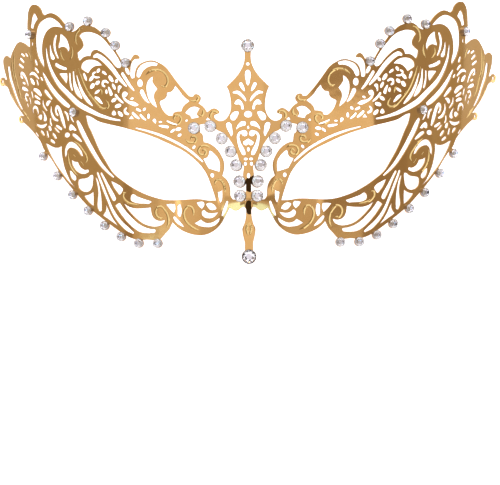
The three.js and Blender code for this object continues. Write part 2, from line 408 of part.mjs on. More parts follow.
// Leaves out every point that the straight line between its kept neighbours passes within the slack of.
function thinned(points, slack) {
  const open = (run) => {
    const [a, b] = [run[0], run[run.length - 1]];
    const length = Math.hypot(b[0] - a[0], b[1] - a[1]);
    let far = 0;
    let split = 0;
    run.forEach((p, i) => {
      const off = length > 1e-6
        ? Math.abs((b[0] - a[0]) * (p[1] - a[1]) - (b[1] - a[1]) * (p[0] - a[0])) / length
        : Math.hypot(p[0] - a[0], p[1] - a[1]);
      if (off > far) [far, split] = [off, i];
    });
    if (far <= slack) return [a];
    return [...open(run.slice(0, split + 1)), ...open(run.slice(split))];
  };
  // the closed outline is cut at its point farthest from the first
  const away = points.map((p) => Math.hypot(p[0] - points[0][0], p[1] - points[0][1]));
  const half = away.indexOf(Math.max(...away));
  return [...open(points.slice(0, half + 1)), ...open([...points.slice(half), points[0]])];
}

// A straight-sided solid over a flat outline, reaching as far below the flat as above it.
function prism(outline, half) {
  const shape = new THREE.Shape(thinned(outline, CURVE_SLACK).map(([s, y]) => new THREE.Vector2(s, y)));
  const geometry = new THREE.ExtrudeGeometry(shape, { depth: 2 * half, bevelEnabled: false });
  geometry.translate(0, 0, -half);
  return solidOf(geometry);
}

function solidOf(geometry) {
  geometry.deleteAttribute('normal');
  geometry.deleteAttribute('uv');
  const merged = mergeVertices(geometry, 1e-4);
  return new wasm.Manifold(new wasm.Mesh({
    numProp: 3,
    vertProperties: merged.attributes.position.array,
    triVerts: Uint32Array.from(merged.index.array),
  }));
}

// A many-sided disc round a place, its sides lying on the true circle.
function disc(s, y, width) {
  const radius = width / 2 / Math.cos(Math.PI / TAB_SIDES);
  return Array.from({ length: TAB_SIDES }, (_, i) => {
    const angle = 2 * Math.PI * (i + 0.5) / TAB_SIDES;
    return [s + radius * Math.cos(angle), y + radius * Math.sin(angle)];
  });
}

// A rectangle from a tab's middle straight to the nearest point of the outline and a little beyond.
function neck([s, y]) {
  const middle = new THREE.Vector2(s, y);
  const away = OUTLINE.map((p) => Math.hypot(p[0] - s, p[1] - y));
  const nearest = new THREE.Vector2(...OUTLINE[away.indexOf(Math.min(...away))]);
  const along = nearest.clone().sub(middle).normalize();
  const aside = new THREE.Vector2(-along.y, along.x).multiplyScalar(NECK_WIDTH / 2);
  const end = nearest.clone().addScaledVector(along, NECK_REACH);
  const corners = [middle.clone().sub(aside), end.clone().sub(aside), end.clone().add(aside),
    middle.clone().add(aside)];
  return corners.map((p) => p.toArray());
}

function flatSheet() {
  const whole = [...OUTLINE, ...across(OUTLINE).slice(1, -1).reverse()];
  const paired = (outlines) => [...outlines, ...outlines.map(across)];
  const tab = ([s, y], width) => disc(s, y, width + 2 * TAB_MARGIN);
  const pairedTabs = STONE_GROUPS.flatMap(([, stones, width]) => stones.map((place) => tab(place, width)));
  const tabs = [...paired(pairedTabs), tab(CROWN_STONE, CROWN_STONE_WIDTH), tab(DROP_STONE, DROP_STONE_WIDTH)];
  const necks = paired(NECKED_STONES.map(neck));
  const rings = paired(EYELETS.map(([s, y, width]) => disc(s, y, width)));
  const holes = paired(EYELETS.map(([s, y, , hole]) => disc(s, y, hole)));
  let sheet = prism(whole, SLAB_HALF);
  for (const opening of [...paired(PAIRED_OPENINGS), ...TOWER_MIDDLE]) {
    sheet = sheet.subtract(prism(opening, CUTTER_HALF));
  }
  for (const added of [...tabs, ...necks, ...rings]) sheet = sheet.add(prism(added, SLAB_HALF));
  for (const hole of holes) sheet = sheet.subtract(prism(hole, CUTTER_HALF));
  return sheet.getMesh();
}

// The bent sheet

// Where a point of the flat sheet lies once it is bent, raised from the middle of its thickness, and the
// way it faces there: a round bend about an upright axis, with the nose bridge swelling forward of it.
function bent(s, y, raised) {
  const rounded = THREE.MathUtils.clamp(s, -STRAIGHT_FROM, STRAIGHT_FROM);
  const turn = rounded / BEND_RADIUS;
  const swell = NOSE_RISE * Math.exp(-((s / NOSE_HALF_WIDTH) ** 2) - ((y - NOSE_MIDDLE) / NOSE_REACH) ** 2);
  const outward = new THREE.Vector3(Math.sin(turn), 0, Math.cos(turn));
  const sideways = new THREE.Vector3(Math.cos(turn), 0, -Math.sin(turn));
  const facing = outward.clone()
    .addScaledVector(sideways, 2 * s / NOSE_HALF_WIDTH ** 2 * swell)
    .addScaledVector(new THREE.Vector3(0, 1, 0), 2 * (y - NOSE_MIDDLE) / NOSE_REACH ** 2 * swell)
    .normalize();
  const place = outward.multiplyScalar(BEND_RADIUS + swell)
    .addScaledVector(sideways, s - rounded)
    .add(new THREE.Vector3(0, y, -BEND_RADIUS))
    .addScaledVector(facing, raised);
  return { place, facing };
}

// Bends the front face of the flat sheet, copies it for the back and joins the two along every edge that
// belongs to one triangle only.
function bentSheet({ numProp, vertProperties, triVerts }) {
  const number = new Map();
  const flat = [];
  const front = [];
  for (let t = 0; t < triVerts.length; t += 3) {
    const corners = [0, 1, 2].map((k) => triVerts[t + k] * numProp);
    if (corners.some((c) => vertProperties[c + 2] < 0)) continue;
    front.push(corners.map((c) => {
      if (!number.has(c)) {
        number.set(c, flat.length);
        flat.push([vertProperties[c], vertProperties[c + 1]]);
      }
      return number.get(c);
    }));
  }
  const positions = [];
  for (const raised of [SHEET_THICKNESS / 2, -SHEET_THICKNESS / 2]) {
    for (const [s, y] of flat) positions.push(...bent(s, y, raised).place.toArray());
  }
  const shared = new Set(front.flatMap(([a, b, c]) => [`${a} ${b}`, `${b} ${c}`, `${c} ${a}`]));
  const index = [];
  const back = flat.length;
  for (const [a, b, c] of front) {
    index.push(a, b, c, back + a, back + c, back + b);
    for (const [p, q] of [[a, b], [b, c], [c, a]]) {
      if (!shared.has(`${q} ${p}`)) index.push(q, p, back + p, q, back + p, back + q);
    }
  }
  const geometry = new THREE.BufferGeometry();
  geometry.setAttribute('position', new THREE.Float32BufferAttribute(positions, 3));
  geometry.setIndex(index);
  return geometry;
}

// Stones

const GOLD = new THREE.MeshStandardMaterial({ color: 0xc99a55, roughness: 0.25, metalness: 1 });
const CLEAR_STONE = new THREE.MeshStandardMaterial({ color: 0xd9d7e2, roughness: 0.05, metalness: 0.2 });

// A low cut stone. Its few sides enclose the same area as the round stone of that width.
function stoneGeometry(width) {
  const sector = Math.PI / STONE_SIDES;
  const radius = width / 2 * Math.sqrt(sector / (Math.sin(sector) * Math.cos(sector)));
  const profile = [[0, 0], [radius, 0], [STONE_TABLE * radius, STONE_HEIGHT], [0, STONE_HEIGHT]];
  return new THREE.LatheGeometry(profile.map(([x, y]) => new THREE.Vector2(x, y)), STONE_SIDES);
}

function stone(name, [s, y], width) {
  const mesh = new THREE.Mesh(stoneGeometry(width), CLEAR_STONE);
  mesh.name = name;
  const { place, facing } = bent(s, y, SHEET_THICKNESS / 2 + STONE_GAP);
  mesh.position.copy(place);
  mesh.quaternion.setFromUnitVectors(new THREE.Vector3(0, 1, 0), facing);
  return mesh;
}

const stonePairs = STONE_GROUPS.flatMap(([name, stones, width]) => stones.flatMap(([s, y], i) => [
  stone(`${name}_left_${i + 1}`, [-s, y], width),
  stone(`${name}_right_${i + 1}`, [s, y], width),
]));

// The mask, lying on its outer edges

const plate = new THREE.Mesh(bentSheet(flatSheet()), GOLD);
plate.name = 'filigree_plate';

const mask = new THREE.Group();
mask.add(plate, stone('crown_stone', CROWN_STONE, CROWN_STONE_WIDTH),
  stone('drop_stone', DROP_STONE, DROP_STONE_WIDTH), ...stonePairs);
mask.rotation.x = THREE.MathUtils.degToRad(LYING_TILT);

// the origin is at the middle of the box's underside
const model = new THREE.Group();
model.add(mask);
model.updateMatrixWorld(true);
const box = new THREE.Box3().setFromObject(model, true);
mask.position.set(-(box.min.x + box.max.x) / 2, -(box.min.y + box.max.y) / 2, -box.min.z);

export default model;
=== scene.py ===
import math

import bpy
import numpy as np
from mathutils import Matrix, Vector
from mathutils.geometry import delaunay_2d_cdt


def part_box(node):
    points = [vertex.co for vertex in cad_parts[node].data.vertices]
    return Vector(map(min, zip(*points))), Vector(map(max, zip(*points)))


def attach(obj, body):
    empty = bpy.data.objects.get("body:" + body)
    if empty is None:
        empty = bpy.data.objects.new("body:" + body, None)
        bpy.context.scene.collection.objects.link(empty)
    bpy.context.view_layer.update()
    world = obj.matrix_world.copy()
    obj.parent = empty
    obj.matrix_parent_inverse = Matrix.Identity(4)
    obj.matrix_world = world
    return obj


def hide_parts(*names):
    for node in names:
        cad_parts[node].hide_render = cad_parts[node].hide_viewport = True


# A half mask for a masked ball: one thin gold-coloured sheet cut to scroll openwork, bent round the face
# and set with clear cut stones. The pattern is drawn on the flat sheet in millimetres, one half of it, with
# s the way outward from the middle line and y the height. The other half mirrors it.

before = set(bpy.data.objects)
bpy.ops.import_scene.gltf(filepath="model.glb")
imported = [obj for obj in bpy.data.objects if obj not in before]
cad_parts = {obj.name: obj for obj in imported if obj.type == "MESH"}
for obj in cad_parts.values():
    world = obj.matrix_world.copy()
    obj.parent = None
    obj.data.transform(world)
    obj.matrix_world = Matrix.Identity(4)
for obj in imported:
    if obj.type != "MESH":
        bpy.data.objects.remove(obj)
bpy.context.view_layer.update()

MM = 0.001
# In millimetres: a length below which it counts as none, and a gap below which two points count as one
NO_LENGTH = 1e-6
SAME_POINT = 1e-4

# The sheet, as in the solid part
SHEET_THICKNESS = 0.6
BEND_RADIUS = 124
STRAIGHT_FROM = 108
NOSE_RISE = 3
NOSE_HALF_WIDTH = 8
NOSE_REACH = 16
NOSE_MIDDLE = -15
LYING_TILT = math.radians(31.95)
CURVE_STEP = 0.2
CURVE_SLACK = 0.02
CAP_POINTS = 7
OVAL_POINTS = 24
# Fields of points between the outlines, which let the sheet bend smoothly: left, right, lower and upper edge
# and the gap between points, over the whole sheet and closer over the nose bridge
INNER_POINTS = [[-118, 118, -40, 65, 2.2], [-14, 14, -30, 6, 0.6]]

# The finish of the sheet. The tip is the share of its width that an engraved line keeps at its ends. The
# line is dark with painted shade on its side that leans this way, to the right and up, and deepest near that
# side.
EDGE_BEVEL = 0.1
ENGRAVED_WIDTH = 0.9
ENGRAVED_DEPTH = 0.14
ENGRAVED_TIP = 0.2
SHADED_LEAN = np.array([1, 0.5, 0])
WAVE_HEIGHT = 0.015
GRAIN_HEIGHT = 0.0005
CLOUD_DARK = 0.35
CLOUD_LIGHT = 0.65

# The stones: a foil dish under each, a cut crown above it. Table, shoulder and culet are shares of the
# width, and the shoulder's rise is a share of the crown's height.
STONE_TOP = 2
TAB_MARGIN = 0.15
NECK_WIDTH = 2
NECK_REACH = 0.6
STONE_TABLE = 0.56
STONE_SHOULDER = 0.8
SHOULDER_RISE = 0.62
GIRDLE_LOW = 1.05
GIRDLE_HIGH = 1.15
CULET = 0.4
DISH_BOTTOM = 0.12
FOIL_GAP = 0.03
CUP_LIP = 0.1
CUP_SINK = 0.02
GEM_SIDES = 16
GEM_SEED = 46

# The light: the room all round, and soft boxes as the mask sees them, each by its left, right, lower and
# upper edge in degrees from straight ahead, its brightness over the room's and its tint if it has one
ROOM_LIGHT = (0.34, 0.28, 0.21)
BOX_DISTANCE = 1500
COOL = (0.45, 0.8, 1)
PALE = (0.93, 0.95, 1)
WARM = (0.95, 1, 0.85)
SOFT_BOXES = [
    ("front_left_box", -48.5, -18, 2.3, 6.5, 0.59, PALE),
    ("left_fade_box", -51, -48.5, 2.3, 22, 0.25, PALE),
    ("front_box", -18, 6, 2.3, 6.5, 0.59, PALE),
    ("front_right_box", 6, 25, 2.3, 6.5, 0.47, PALE),
    ("right_box", 25, 51, 2.3, 5.4, 0.58),
    ("tower_box", -18, 6, 6.5, 22, 0.59, PALE),
    ("tower_right_box", 6, 18, 6.5, 22, 0.5, PALE),
    ("upper_left_box", -48.5, -18, 6.5, 22, 0.42),
    ("upper_right_box", 18, 51, 7, 22, 0.26),
    ("low_left_box", -20, 0, -2, 2.3, 0.29),
    ("low_right_box", 0, 15, -2, 1.2, 0.14),
    ("low_far_right_box", 15, 30, -2, 1.2, 0.28),
    ("middle_right_box", 0, 30, 1.2, 2.3, 0.3),
    ("stem_box", -15, 15, -24, -2, 0.59, PALE),
    ("left_strip", -36, -20, -2, 2.3, 0.42),
    ("left_far_strip", -47, -36, -2, 2.3, 0.27),
    ("left_bright_strip", -29.3, -27.3, 0.2, 1.6, 1.1),
    ("right_strip", 30, 46, -2, -0.3, 0.27),
    ("right_bright_strip", 27.3, 29.3, 0.2, 1.2, 0.35),
    ("left_nose_box", -44, -17, -13, -4.3, 1.8, COOL),
    ("left_high_nose_box", -44, -31, -4.3, -1.3, 1.8, COOL),
    ("right_nose_box", 17, 44, -13, -4.3, 1.45, COOL),
    ("right_high_nose_box", 31, 44, -4.3, -2.2, 1.45, COOL),
    ("left_side_box", -88, -51, -10, 14, 0.13, WARM),
    ("left_end_box", -115, -88, -10, 14, 0.16, WARM),
    ("right_side_box", 66, 78, -10, 14, 0.05, WARM),
    ("right_end_box", 78, 115, -10, 14, 0.1, WARM),
    ("high_box", -36, 36, 24, 45, 0.7),
    ("high_left_box", -106, -36, 24, 45, 0.7),
    ("high_right_box", 36, 106, 24, 45, 0.7),
    ("top_box", -36, 36, 45, 80, 2.6),
    ("top_left_box", -106, -36, 45, 80, 2.6),
    ("top_right_box", 36, 106, 45, 80, 2.6),
    ("bottom_left_box", -70, 0, -55, -26, 0.8),
    ("bottom_right_box", 0, 70, -55, -26, 0.8),
]
FLOOR_REACH = 2500
PAPER_WIDTH = 216
PAPER_FADE = 3

# The camera, as the photograph was taken: the picture's width in pixels, the millimetres that one pixel
# covers at the nose, and the camera's place before the mask in millimetres
PHOTO_WIDTH = 500
PIXEL = 0.38
CAMERA_DISTANCE = 700
CAMERA_SIDE = 0.38
CAMERA_HEIGHT = -31.35
CAMERA_ROLL = math.radians(0.4)
SENSOR = 36


# Smooth outlines


def through(points, closed):
    """Points along the smooth curve through the given points. The slope at a point weighs its two
    neighbours by their distance. Any further values, such as a width, run along with the place."""
    p = np.array(points, float)
    count = len(p)
    before = np.roll(p, 1, axis=0)
    after = np.roll(p, -1, axis=0)
    apart = np.linalg.norm((after - p)[:, :2], axis=1).clip(NO_LENGTH)
    step = (after - p) / apart[:, None]
    back = np.roll(apart, 1)
    slope = (np.roll(step, 1, axis=0) * apart[:, None] + step * back[:, None]) / (apart + back)[:, None]
    if not closed:
        slope[0] = step[0]
        slope[-1] = (p[-1] - before[-1]) / back[-1]
    curve = []
    for i in range(count if closed else count - 1):
        length = apart[i]
        t = np.arange(0, 1, 1 / max(1, math.ceil(length / CURVE_STEP)))[:, None]
        j = (i + 1) % count
        curve.append((2 * t**3 - 3 * t**2 + 1) * p[i] + (t**3 - 2 * t**2 + t) * length * slope[i]
                     + (3 * t**2 - 2 * t**3) * p[j] + (t**3 - t**2) * length * slope[j])
    if not closed:
        curve.append(p[-1:])
    return np.vstack(curve)


def path(*points):
    """A smooth path from the first point to the last. A third value of 1 marks a sharp corner."""
    pieces = []
    run = []
    for i, point in enumerate(points):
        run.append(point[:2])
        if len(run) > 1 and (len(point) == 3 or i == len(points) - 1):
            pieces.append(through(run, False)[:-1])
            run = [point[:2]]
    return np.vstack([*pieces, run])


def loop(*points):
    """A closed smooth outline, with sharp corners marked in the same way."""
    sharp = [i for i, point in enumerate(points) if len(point) == 3]
    if not sharp:
        return through(points, True)
    first = sharp[0]
    return path(*points[first:], *points[:first + 1])[:-1]


def slot(*points):
    """A curved slot: points of its middle line with the full width at each, and round ends."""
    spine = through(points, False)
    along = np.gradient(spine[:, :2], axis=0)
    along /= np.linalg.norm(along, axis=1).clip(NO_LENGTH)[:, None]
    sideways = np.column_stack([-along[:, 1], along[:, 0]])
    half = spine[:, 2:3] / 2
    turn = np.linspace(0, math.pi, CAP_POINTS + 2)[1:-1, None]

    def cap(i, way):
        return spine[i, :2] + half[i] * (np.cos(turn) * way * sideways[i] + np.sin(turn) * way * along[i])

    left = spine[:, :2] + half * sideways
    right = spine[:, :2] - half * sideways
    return np.vstack([left, cap(-1, 1), right[::-1], cap(0, -1)])


def oval(s, y, length, width, turn=0):
    """An ellipse of full length and width, its length turned by degrees from the s direction."""
    angle = np.linspace(0, 2 * math.pi, OVAL_POINTS + 1)[:-1]
    tilt = math.radians(turn)
    along = np.cos(angle) * length / 2
    across = np.sin(angle) * width / 2
    return np.column_stack([s + along * math.cos(tilt) - across * math.sin(tilt),
                            y + along * math.sin(tilt) + across * math.cos(tilt)])


def disc(s, y, width):
    return oval(s, y, width, width)


# The half pattern

# From the top of the tower down the outside to the foot of the nose stem.
OUTLINE = path(
    # tower and the first curl at its foot
    [0, 43, 1], [1.1, 41.6], [1.15, 39.2], [1.5, 36.8], [2.4, 34.6], [3.7, 32.6], [5.4, 30.6], [8.1, 28, 1],
    [7.3, 26.2], [6.8, 24.2], [6.5, 21.8], [6.5, 19.8], [6.9, 18.1], [7.7, 16.6], [9, 15.3], [10.5, 14.9],
    [11.8, 15.3], [12.8, 16.3], [12.8, 17.2, 1], [11.9, 17.5], [11.1, 17.8], [10.9, 18.5], [11.6, 19.3],
    [12.8, 19.8], [14.1, 19.5], [15.1, 18.7], [15.6, 18.3, 1],
    # brow loop, its curl and the band up to the leaf scroll
    [16.3, 19.5], [17.3, 20.7], [18.9, 21.8, 1], [18.2, 22.7], [18, 23.8], [18.5, 24.8], [19.5, 25.3],
    [20.5, 25.2], [21, 24.4, 1], [22.2, 24.5], [23.6, 25.8], [26.6, 29.3], [29.6, 33.3], [31, 35.2],
    [32.6, 36.7], [34.4, 37.7], [36.2, 38.5], [38.2, 38.7], [40.2, 38.3], [42, 37.6], [43.4, 36.4],
    [44.1, 34.9], [44.4, 33.2], [44.5, 32.2, 1], [45.6, 32, 1],
    # hooked tendril beside the sixth crest stone
    [46.2, 33], [46.2, 35], [46, 37], [45.3, 38.6], [44.2, 39.4], [42.9, 39.4], [42.2, 39.6, 1],
    [42.6, 40.6], [43.6, 41.2], [44.7, 41], [45.6, 40], [46.3, 38.8, 1],
    # top edge of the wing
    [48.2, 39.4], [50, 39.3, 1], [52, 42.4], [54.9, 46.3], [56.6, 48.3], [58.8, 50.5], [62.2, 52.8],
    [64.6, 53.5], [67.4, 53.9], [69, 53.3], [70.6, 52.1, 1], [72.4, 51.6], [74, 52], [76.2, 54.7],
    [78, 56.7], [79.8, 58.2], [81.6, 59.2], [83.6, 59.8], [85.4, 59.7], [87.1, 59.2, 1],
    # tip loop
    [88.5, 60.1], [89.1, 61.3], [90.1, 62.6], [91.7, 63.6], [93.5, 64], [95.2, 63.8], [96.5, 62.6],
    [97.3, 60.6], [97.6, 58.2], [97.8, 54.6, 1], [96.4, 53, 1], [96.3, 50, 1], [96.1, 48.4], [96.3, 47.1, 1],
    # outer feather and the two eyelets
    [98.4, 48.4], [100.6, 49.4], [103.2, 49.9], [105, 49.3], [106.5, 48], [108.9, 45.2], [109.4, 44.1, 1],
    [110.4, 44.2], [111.5, 44.9], [112.9, 45.1], [114.2, 44.6], [115, 43.3], [114.8, 41.6], [112.2, 35.3, 1],
    [113.6, 35.6], [115.4, 36.2], [117, 36.2], [117.8, 35.3], [117, 34.2], [115.2, 33.5], [111.8, 32.2],
    [109.6, 29], [107.4, 26.5], [100.2, 20, 1], [101.6, 20], [103.2, 20.1], [104, 19.2], [103.3, 18],
    [101.9, 17.3], [100.6, 17.4, 1],
    # lower rim
    [98.2, 16], [93, 12.1], [90, 9.2], [88.2, 6.2], [85.4, 3.6], [78.4, -4.6], [71.4, -11.4], [64.2, -17.9],
    [56.6, -23.2], [50.4, -27.2], [46.4, -29.3], [43, -30.1], [39.6, -30], [36.6, -30.2], [34.4, -29.8],
    [32.4, -27.8], [30.9, -26.3], [29.4, -23.4, 1],
    # scroll under the inner eye corner, nose bridge and stem
    [28.2, -24.7], [26.6, -26], [24.6, -27.1], [22.4, -27.9], [20, -28.4], [17.8, -28.5], [15.6, -28],
    [13.6, -27], [11.7, -25.5], [10.2, -23.7], [9, -21.5], [7.2, -18.1, 1], [5.9, -18.9], [4.8, -19.3],
    [3.6, -18.9], [2.4, -18], [1.6, -17.9], [1.1, -18.6], [1, -20.4], [1.2, -22.4], [1.7, -24.3],
    [2.4, -25.9], [2.4, -27.4], [1.6, -31.2], [1.1, -35.5], [0, -36.5],
)

EYE = loop(
    [66.2, 18.6, 1], [64.3, 18.1], [60.3, 16], [56, 14.8], [50, 13.4], [45, 12], [40, 10.5], [35, 8.6],
    [30, 6.3], [25, 3.8], [21, 0.8], [18, -2.2], [16, -5.2], [14.6, -8.6], [13.4, -12], [12.4, -15.3, 1],
    [15, -15.3], [19, -14.7], [24, -14.8], [29, -15], [33, -14.7], [37, -13.7], [42, -11.8], [46, -9.7],
    [50, -7.1], [54, -4], [57, 0.2], [60, 4.8], [63.6, 12], [65.4, 15.4],
)

EYE_LOOP = [
    # gap between the eye loop and the tower
    loop([16.8, 13.9, 1], [18.6, 13.6, 1], [18.3, 12.2], [18.4, 10.9], [17.5, 10], [17.2, 8.6],
        [17, 7, 1], [15.2, 6.6], [13.2, 5.4], [11.4, 3.6], [10, 1.2], [9.2, -1], [9.2, -3.2],
        [9.9, -5.9, 1], [8.6, -7], [7.4, -8.9], [6.9, -11.4], [6.8, -13.6], [6, -14.9, 1], [3.4, -15.3],
        [1, -15.4, 1], [0.95, -8, 1], [1.9, -6.4], [1.9, -2.2], [3.4, -0.2], [4.2, 2], [5.4, 5.2],
        [7, 7.6], [9, 10.2], [11.4, 11.2], [13.4, 12.6], [15.4, 13.5]),
    loop([14.8, 3.6], [12.6, 2.1], [11.1, -0.2], [10.8, -2.4], [11, -4.4, 1], [12.6, -3.9], [14.4, -3.3],
        [15.2, -3, 1], [16.2, -1.2], [17.2, 0.6, 1], [15.8, 1.1], [15.1, 2.2]),
    oval(13.8, -5.7, 1.7, 1.4, 80),
    loop([11.7, -12.1, 1], [10.7, -11.9], [10, -11.3, 1], [9.9, -13], [10.2, -15.4], [10.8, -16.3, 1],
        [11.4, -14.4]),
    slot([8.1, -16, 0.9], [8.6, -17.6, 1.2], [9.4, -19.6, 1.2], [10, -20.9, 0.6]),
    loop([19.9, -16, 1], [18.6, -15.7], [17.3, -15.8], [16.9, -16.6], [17.1, -17.4], [17.9, -18.4, 1],
        [19.2, -17.2]),
    loop([16.2, -16.7], [15.2, -16.2], [13.9, -16.4], [12.8, -17.3], [12.3, -18.4], [13.4, -18.9],
        [14.8, -18.7], [15.6, -17.8]),
    loop([17, -18.9], [17.9, -19.5], [17.8, -20.7], [16.9, -21.6], [15.2, -22], [13.4, -21.6],
        [11.6, -19.8, 1], [13.2, -20.1], [15, -20.1], [16.2, -19.6]),
    loop([20.7, -23.9, 1], [19.5, -23.2], [18.3, -22.5, 1], [17.2, -23.4], [15.6, -23.9], [13.9, -23.6],
        [12.4, -22.8], [11, -21.9, 1], [11.4, -23.2], [12.8, -24.6], [14.6, -25.3], [16.8, -25.3],
        [18.8, -24.9]),
    loop([31.9, -16.6, 1], [30, -16.4], [28.4, -16.5, 1], [28.2, -18.2], [28.8, -19.9, 1],
        [30.3, -18.5]),
    loop([27.2, -16.9], [26.3, -16.6], [25.9, -17.6], [25.9, -20.4], [26.4, -21.4], [27.2, -20.8],
        [27.4, -18.8]),
    slot([28.6, -21.7, 1], [27.8, -22.7, 1.3], [26.7, -23.8, 1.2], [25.2, -25, 0.4]),
    oval(20.8, 5.1, 1.5, 1, -50),
]

TOWER_MIDDLE = [
    oval(0, 36.5, 1.3, 1.2),
    loop([0, 34.3], [0.8, 33.8], [1.1, 32.6], [0.8, 30.4], [0.3, 28.6], [0, 28.3],
        [-0.3, 28.6], [-0.8, 30.4], [-1.1, 32.6], [-0.8, 33.8]),
    oval(0, 17.4, 3, 2.5),
    oval(0, 12.4, 1.2, 0.8, 90),
    loop([0, 8.1], [1, 7.5], [2, 6.8], [1.6, 5.8], [0.8, 5.5], [0, 6], [-0.8, 5.5], [-1.6, 5.8],
        [-2, 6.8], [-1, 7.5]),
    oval(0, 4, 1.7, 1, 90),
    oval(0, -6, 2, 1.2, 90),
]

TOWER = [
    slot([2.7, 28.9, 1.3], [2.1, 27.7, 1.3], [1.4, 26.5, 0.6]),
    slot([5.4, 25.7, 0.7], [4.1, 25.8, 1.2], [2.6, 24.8, 1.1], [1.4, 23.4, 0.9], [0.9, 22.6, 0.5]),
    loop([5.2, 21.4, 1], [4.7, 22.5], [3.7, 23.1], [2.5, 22.3], [1.8, 20.8], [1.8, 19.2], [2.4, 19.3],
        [2.7, 20.6], [3.4, 21.2], [4.3, 21.1]),
    loop([3.5, 18.3, 1], [4.5, 18.6], [6.8, 16.4], [6.5, 15.4], [5.2, 15.1], [4.3, 16.2], [3.7, 17.3]),
    loop([8.3, 14], [7.4, 14.4], [6.5, 13.8], [6.1, 12], [6, 9.6], [6.3, 9.1], [7.2, 10.4], [8.2, 12.6]),
    loop([1, 14.5], [2.2, 14.8], [3.5, 13.9], [4.3, 12.7], [4.6, 11.6, 1], [3.4, 12.5], [2.2, 12.9],
        [1, 13.3]),
    loop([0.4, 10.6], [1.2, 11.3], [2.4, 11.2], [3.6, 10.6], [4.3, 9.2], [4.2, 7.4], [3.8, 5.4],
        [3, 3.4], [1.9, 1.8], [1.2, 1.9], [1.1, 2.8], [1.6, 4.2], [2.6, 6], [3.2, 7.8], [3.3, 9.4],
        [2.7, 10.1], [2.2, 9.4], [1.4, 9], [0.7, 9.2]),
    oval(1, 0.35, 1.5, 1.1),
    oval(1.15, -1.5, 1.5, 1.1, 90),
]

BROW = [
    loop([16.1, 15.3, 1], [15.6, 16.3, 1], [14.4, 15.4, 1]),
    loop([24, 18.3], [23.2, 19.3], [21.8, 20.3], [20.2, 20.5], [18.5, 19.8, 1], [19.3, 18.6],
        [19.6, 17.6], [18.8, 16.5, 1], [20.2, 16.2], [21.8, 16.2], [22.1, 17.1], [23.2, 17.7]),
    oval(23.6, 15.3, 1, 0.8),
    oval(26.9, 12.1, 2.4, 1.3, -8),
    oval(29.1, 11.5, 2.2, 1, -35),
    oval(26.4, 9.8, 1.7, 1.1, -25),
    slot([34.5, 13.6, 0.5], [33, 13.3, 1], [31.1, 13, 1]),
    oval(34, 15, 1.5, 0.7),
    slot([31.3, 15.3, 0.5], [29.4, 14.4, 0.6], [27.4, 13.8, 0.4]),
    loop([28, 28.7, 1], [28.6, 27.4], [29.6, 26.4], [31.2, 26], [31.4, 24.7], [32.3, 23.7], [34.2, 22.7],
        [33.8, 21.2], [33, 19.6], [31.8, 18.2], [30.4, 17.3], [29.1, 17.3, 1], [28.7, 18.3],
        [27.4, 18.8], [25.6, 18.9, 1], [25.2, 20.2], [24.2, 21.4], [22.4, 22.7, 1], [23.6, 23.6],
        [25, 24.9], [26.4, 26.8]),
    slot([44, 12.9, 0.4], [39, 11.6, 0.7], [34, 9.9, 0.9], [29.6, 8, 0.9], [26, 6.1, 0.9],
        [22, 3.5, 0.9], [19.4, 1.3, 0.8], [17.5, -0.4, 0.5]),
]

LEAF_SCROLL = [
    loop([34.9, 37.4, 1], [36.4, 37.9], [38.2, 38.1], [40.2, 37.7], [42, 36.8], [43.1, 35.4], [43.6, 34],
        [43.5, 32.7], [42.5, 32.3], [41.8, 33.2], [41.2, 34.4], [40.2, 35.4], [38.8, 36.2], [37, 36.6],
        [35.2, 36.7]),
    oval(42.2, 30.1, 2.9, 2.3, 80),
    slot([41.5, 26.8, 1.7], [40.5, 24.9, 1.5], [39.5, 23.4, 1], [38.6, 22.5, 0.5]),
    loop([37, 32.3], [38.2, 31.7], [39.2, 30.4], [39.6, 28.5], [39.4, 26.3], [38.8, 24.2], [37.6, 22.3],
        [35.3, 20.4, 1], [35.8, 22.2], [36.5, 24.2], [36.4, 25.8], [35.1, 27.7, 1], [36.4, 29.3],
        [37.1, 30.6], [37, 31.6]),
    slot([49.6, 34, 1.2], [48, 31.6, 1.2], [46.4, 29.3, 1], [44.8, 27.5, 0.6]),
    slot([47.9, 35.6, 1.3], [47.3, 34.6, 1.4], [46.9, 33.9, 0.9]),
]

WING_TOP = [
    # long slot and the openings below it
    slot([62.1, 41.3, 1.1], [61, 41.6, 1.5], [59, 40.7, 1.7], [56.8, 39, 1.8], [54, 36.2, 1.7],
        [51.4, 32.9, 1.5], [49.4, 30.6, 1.1], [48, 29.2, 0.6]),
    loop([68.3, 37.3], [68, 38.6], [66.6, 39.7], [64.5, 40.1], [62, 39.8], [60, 38.9], [58.6, 37.7, 1],
        [60.4, 37.7], [62.2, 37.4], [63.8, 36.4], [65, 35, 1], [66.6, 35.9]),
    loop([69.1, 49.7, 1], [68, 50.6], [66.4, 50.9], [64.6, 50.9], [62.5, 50.4], [60.4, 49.6],
        [58.4, 48.3], [55.6, 45.4], [52.6, 41.8], [50.8, 38.9], [50.1, 37], [50.8, 36.3], [51.8, 36.5],
        [53, 37.5], [54.2, 38.9], [57, 41.6], [59.4, 43.2], [61.4, 43.9], [62.9, 43.5], [63.7, 42.4],
        [63.9, 41.6, 1], [65.6, 41.7], [67.2, 41.3], [69, 40, 1], [69.8, 41.4], [70.1, 43.2, 1],
        [68.4, 44.3], [67.3, 45.4], [67.5, 47.4], [68.4, 48.9]),
]

